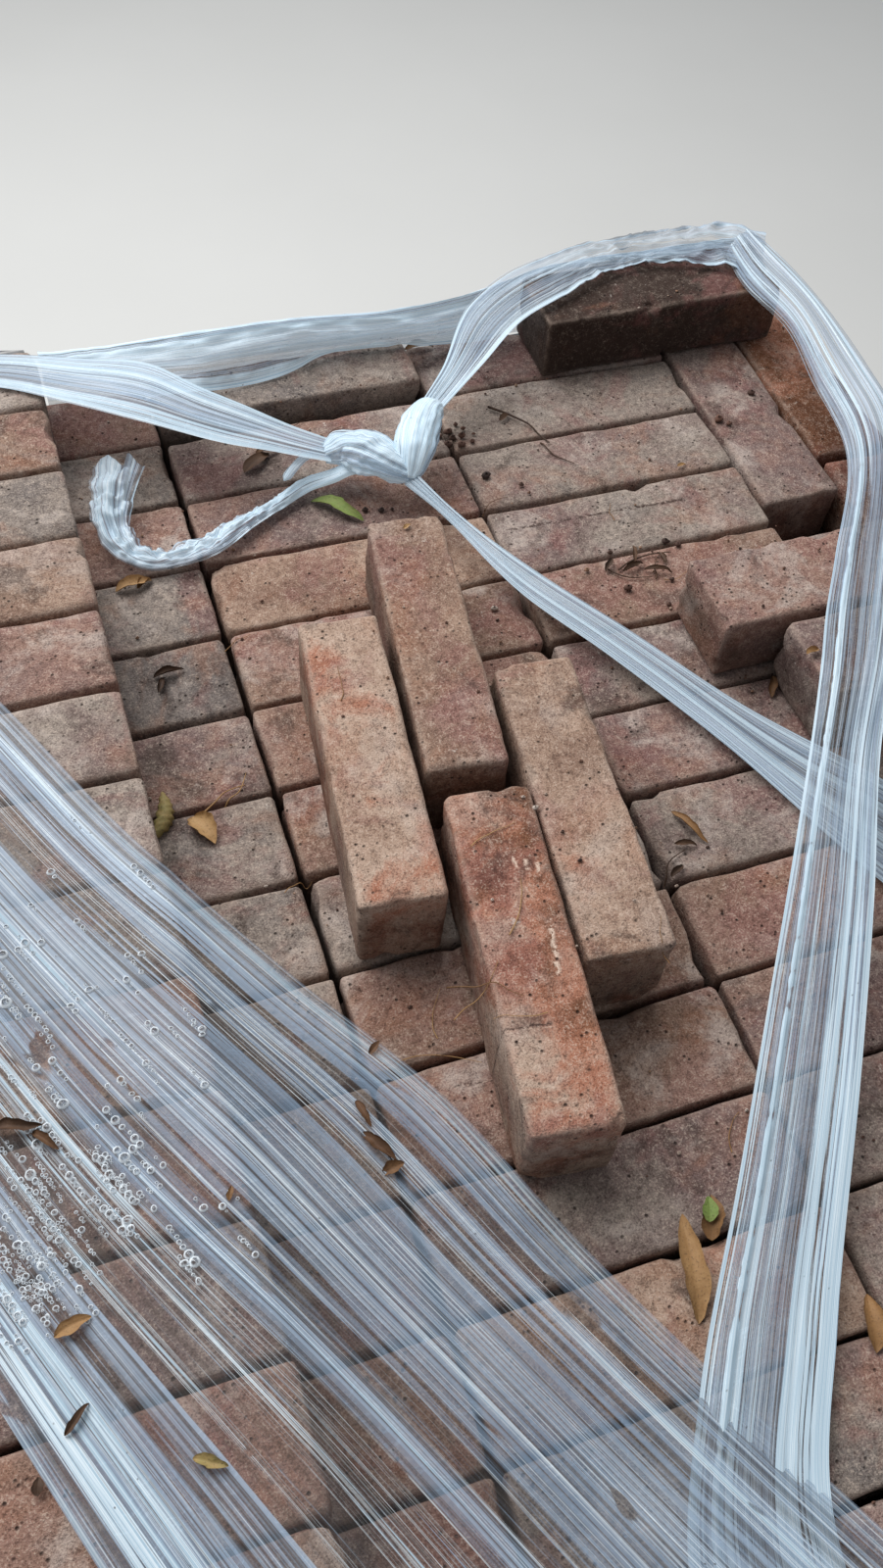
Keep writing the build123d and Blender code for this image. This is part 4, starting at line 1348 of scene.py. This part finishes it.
# Lumps as (x, y, size, tint)
lump_places = (
    (153, 358, 7, 0.05), (175, 343, 4, 0.2), (48, 350, 4, 0.05), (57, 347, 4.5, 0.05), (68, 344, 4.5, 0.05),
    (76, 343, 3, 0.1), (142, 412, 7, 0.3), (150, 404, 6, 0.36), (147, 395, 6, 0.3), (133, 408, 5, 0.3),
    (138, 400, 7, 0.24), (154, 412, 4, 0.4), (156, 397, 4, 0.3), (143, 404, 6, 0.2), (136, 416, 5, 0.34),
    (150, 418, 4, 0.26), (160, 405, 3, 0.4), (141, 390, 4, 0.3), (128, 402, 3, 0.2), (255, 262, 6, 0.1),
    (262, 256, 5, 0.2), (212, 262, 4, 0.2), (244, 226, 4, 0.16), (350, 372, 8, 0.42), (356, 366, 5, 0.36),
    (390, 395, 6, 0.2), (114, 233, 5, 0.86), (189, 250, 4, 0.6),
    (210, 226, 6, 0.3), (232, 205, 4, 0.3), (60, 36, 4, 0.9),
)


def add_grit():
    """The placed lumps, then crumbs scattered over the open course, more of them in its joints."""
    litter = Joined()
    for number, (x, y, size, tint) in enumerate(lump_places):
        form, faces = lump_form(size * MM, 0.7 * number)
        litter.add(form - (0, 0, form[:, 2].min() + 0.3 * MM) + on_top(x, y), faces, tint=tint)
    crumbs = 900
    spread = [chance.uniform(part_edge, right, crumbs), chance.uniform(front, back, crumbs)]
    spread = np.stack(spread, axis=1)
    in_joint = tops(spread) < tops(spread, 0.01 * MM) - 0.3 * MM
    for place, dusty in zip(spread, in_joint):
        if dusty or chance.random() < 0.45:
            size = chance.uniform(0.8, 2.6) * MM
            form, faces = lump_form(size, chance.uniform(0, 9))
            height = tops(place)
            if height > open_top - 6 * MM:
                litter.add(form + (*place, height + 0.2 * size), faces, tint=chance.uniform(0.1, 0.9))
    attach(litter.make("grit", dry_material("grit", grit_tints, 0.9)), "root")


# Drops as (x, y, spread, how many, size): the middle of a patch of them, in millimetres
drop_patches = (
    (-236, -104, 17, 420, 0.75), (-246, -128, 9, 160, 0.9), (-222, -60, 22, 90, 1.2),
    (-196, -20, 26, 90, 1.1), (-232, 20, 30, 110, 1.0), (-262, 80, 34, 110, 0.9),
    (-205, -96, 16, 50, 1.5), (-180, -110, 24, 50, 1.2), (-300, 150, 50, 120, 1.0),
    (-320, 0, 60, 160, 1.1), (-370, 160, 60, 120, 1.2), (-160, 0, 30, 40, 1.0),
)


def water_material():
    """A drop: clear in its middle, with a painted highlight round its rim."""
    s = Shader("water")
    rim = s.attribute("rim")
    glint = s.noise(s.place(), 420.0, 1.0)
    # Painted highlight: the rim goes to near white and glint adds bright spots.
    colour = s.mix(rim.between(0.3, 0.8), rgb(128, 134, 142), rgb(236, 244, 250))
    alpha = (0.12 + rim.between(0.4, 0.85) * 0.8 + glint.between(0.55, 0.64) * 0.5).clamp()
    return s.finish(Base_Color=colour, Roughness=0.05, Alpha=alpha, Coat_Weight=0.5)


def add_drops():
    """Water drops on the corner band, in short rows along its pleats."""
    rows, columns = 4, 8
    arch = np.linspace(0, math.pi / 2, rows)[:, None]
    angle = np.linspace(0, 2 * math.pi, columns, endpoint=False)[None, :]
    dome = grid_of(np.cos(arch) * np.cos(angle), np.cos(arch) * np.sin(angle), 0.6 * np.sin(arch))
    dome = dome.reshape(-1, 3)
    faces = grid_faces(rows, columns, closed=True).tolist()
    rims = np.repeat(np.cos(arch), columns)
    litter = Joined()
    film = points_of(bpy.data.objects["corner_band"].data)
    along = np.array([0.42, -0.91])
    for x, y, spread, count, size in drop_patches:
        made = 0
        while made < count:
            spot = np.array([x, y]) + chance.normal(0, spread, 2)
            for _ in range(chance.integers(1, 9)):
                wide = size * chance.gamma(4.0, 0.25)
                spot = spot + along * (1.7 * wide + chance.exponential(0.8)) + chance.normal(0, 0.25, 2)
                place = on_top(*spot, film)
                made += 1
                if left + 4 * MM < place[0] < part_edge - 4 * MM:
                    stretch = (chance.uniform(0.85, 1.2), chance.uniform(0.85, 1.2), 1)
                    litter.add(dome * wide * MM * stretch + place, faces, rim=rims)
    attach(litter.make("water_drops", water_material()), "root")


def add_stage():
    """The floor, the light from above and behind, and the sky."""
    s = Shader("floor")
    tone = s.noise(s.place(), 3.0, 3.0)
    floor = s.finish(Base_Color=s.mix(tone, (0.70, 0.70, 0.68, 1), (0.74, 0.74, 0.72, 1)), Roughness=0.9)
    half = 6.0
    points = [(-half, -half, 0), (half, -half, 0), (half, half, 0), (-half, half, 0)]
    add_mesh("floor", points, [(0, 1, 2, 3)], floor)
    lamp = bpy.data.lights.new("sky_panel", "AREA")
    lamp.shape = "RECTANGLE"
    lamp.size, lamp.size_y = 3.0, 2.2
    lamp.energy = 116
    where = Vector((-0.7, 1.7, 3.1))
    aim = (Vector((0, 0, 0.7)) - where).to_track_quat("-Z", "Y")
    shown("sky_panel", lamp).matrix_world = Matrix.Translation(where) @ aim.to_matrix().to_4x4()
    world = bpy.data.worlds.new("sky")
    world.use_nodes = True
    background = world.node_tree.nodes["Background"]
    background.inputs["Color"].default_value = (0.93, 0.96, 1.0, 1)
    background.inputs["Strength"].default_value = 0.3
    bpy.context.scene.world = world
    bpy.context.scene.view_settings.view_transform = "Standard"


add_camera()
add_open_bricks()
add_closed_courses()
finish_pallet()
add_nails()
add_wrap()
add_corner_band()
add_straps()
add_side_band()
add_back_rim()
add_tail(add_knot())
add_leaves()
add_stalks()
add_grit()
add_drops()
add_stage()
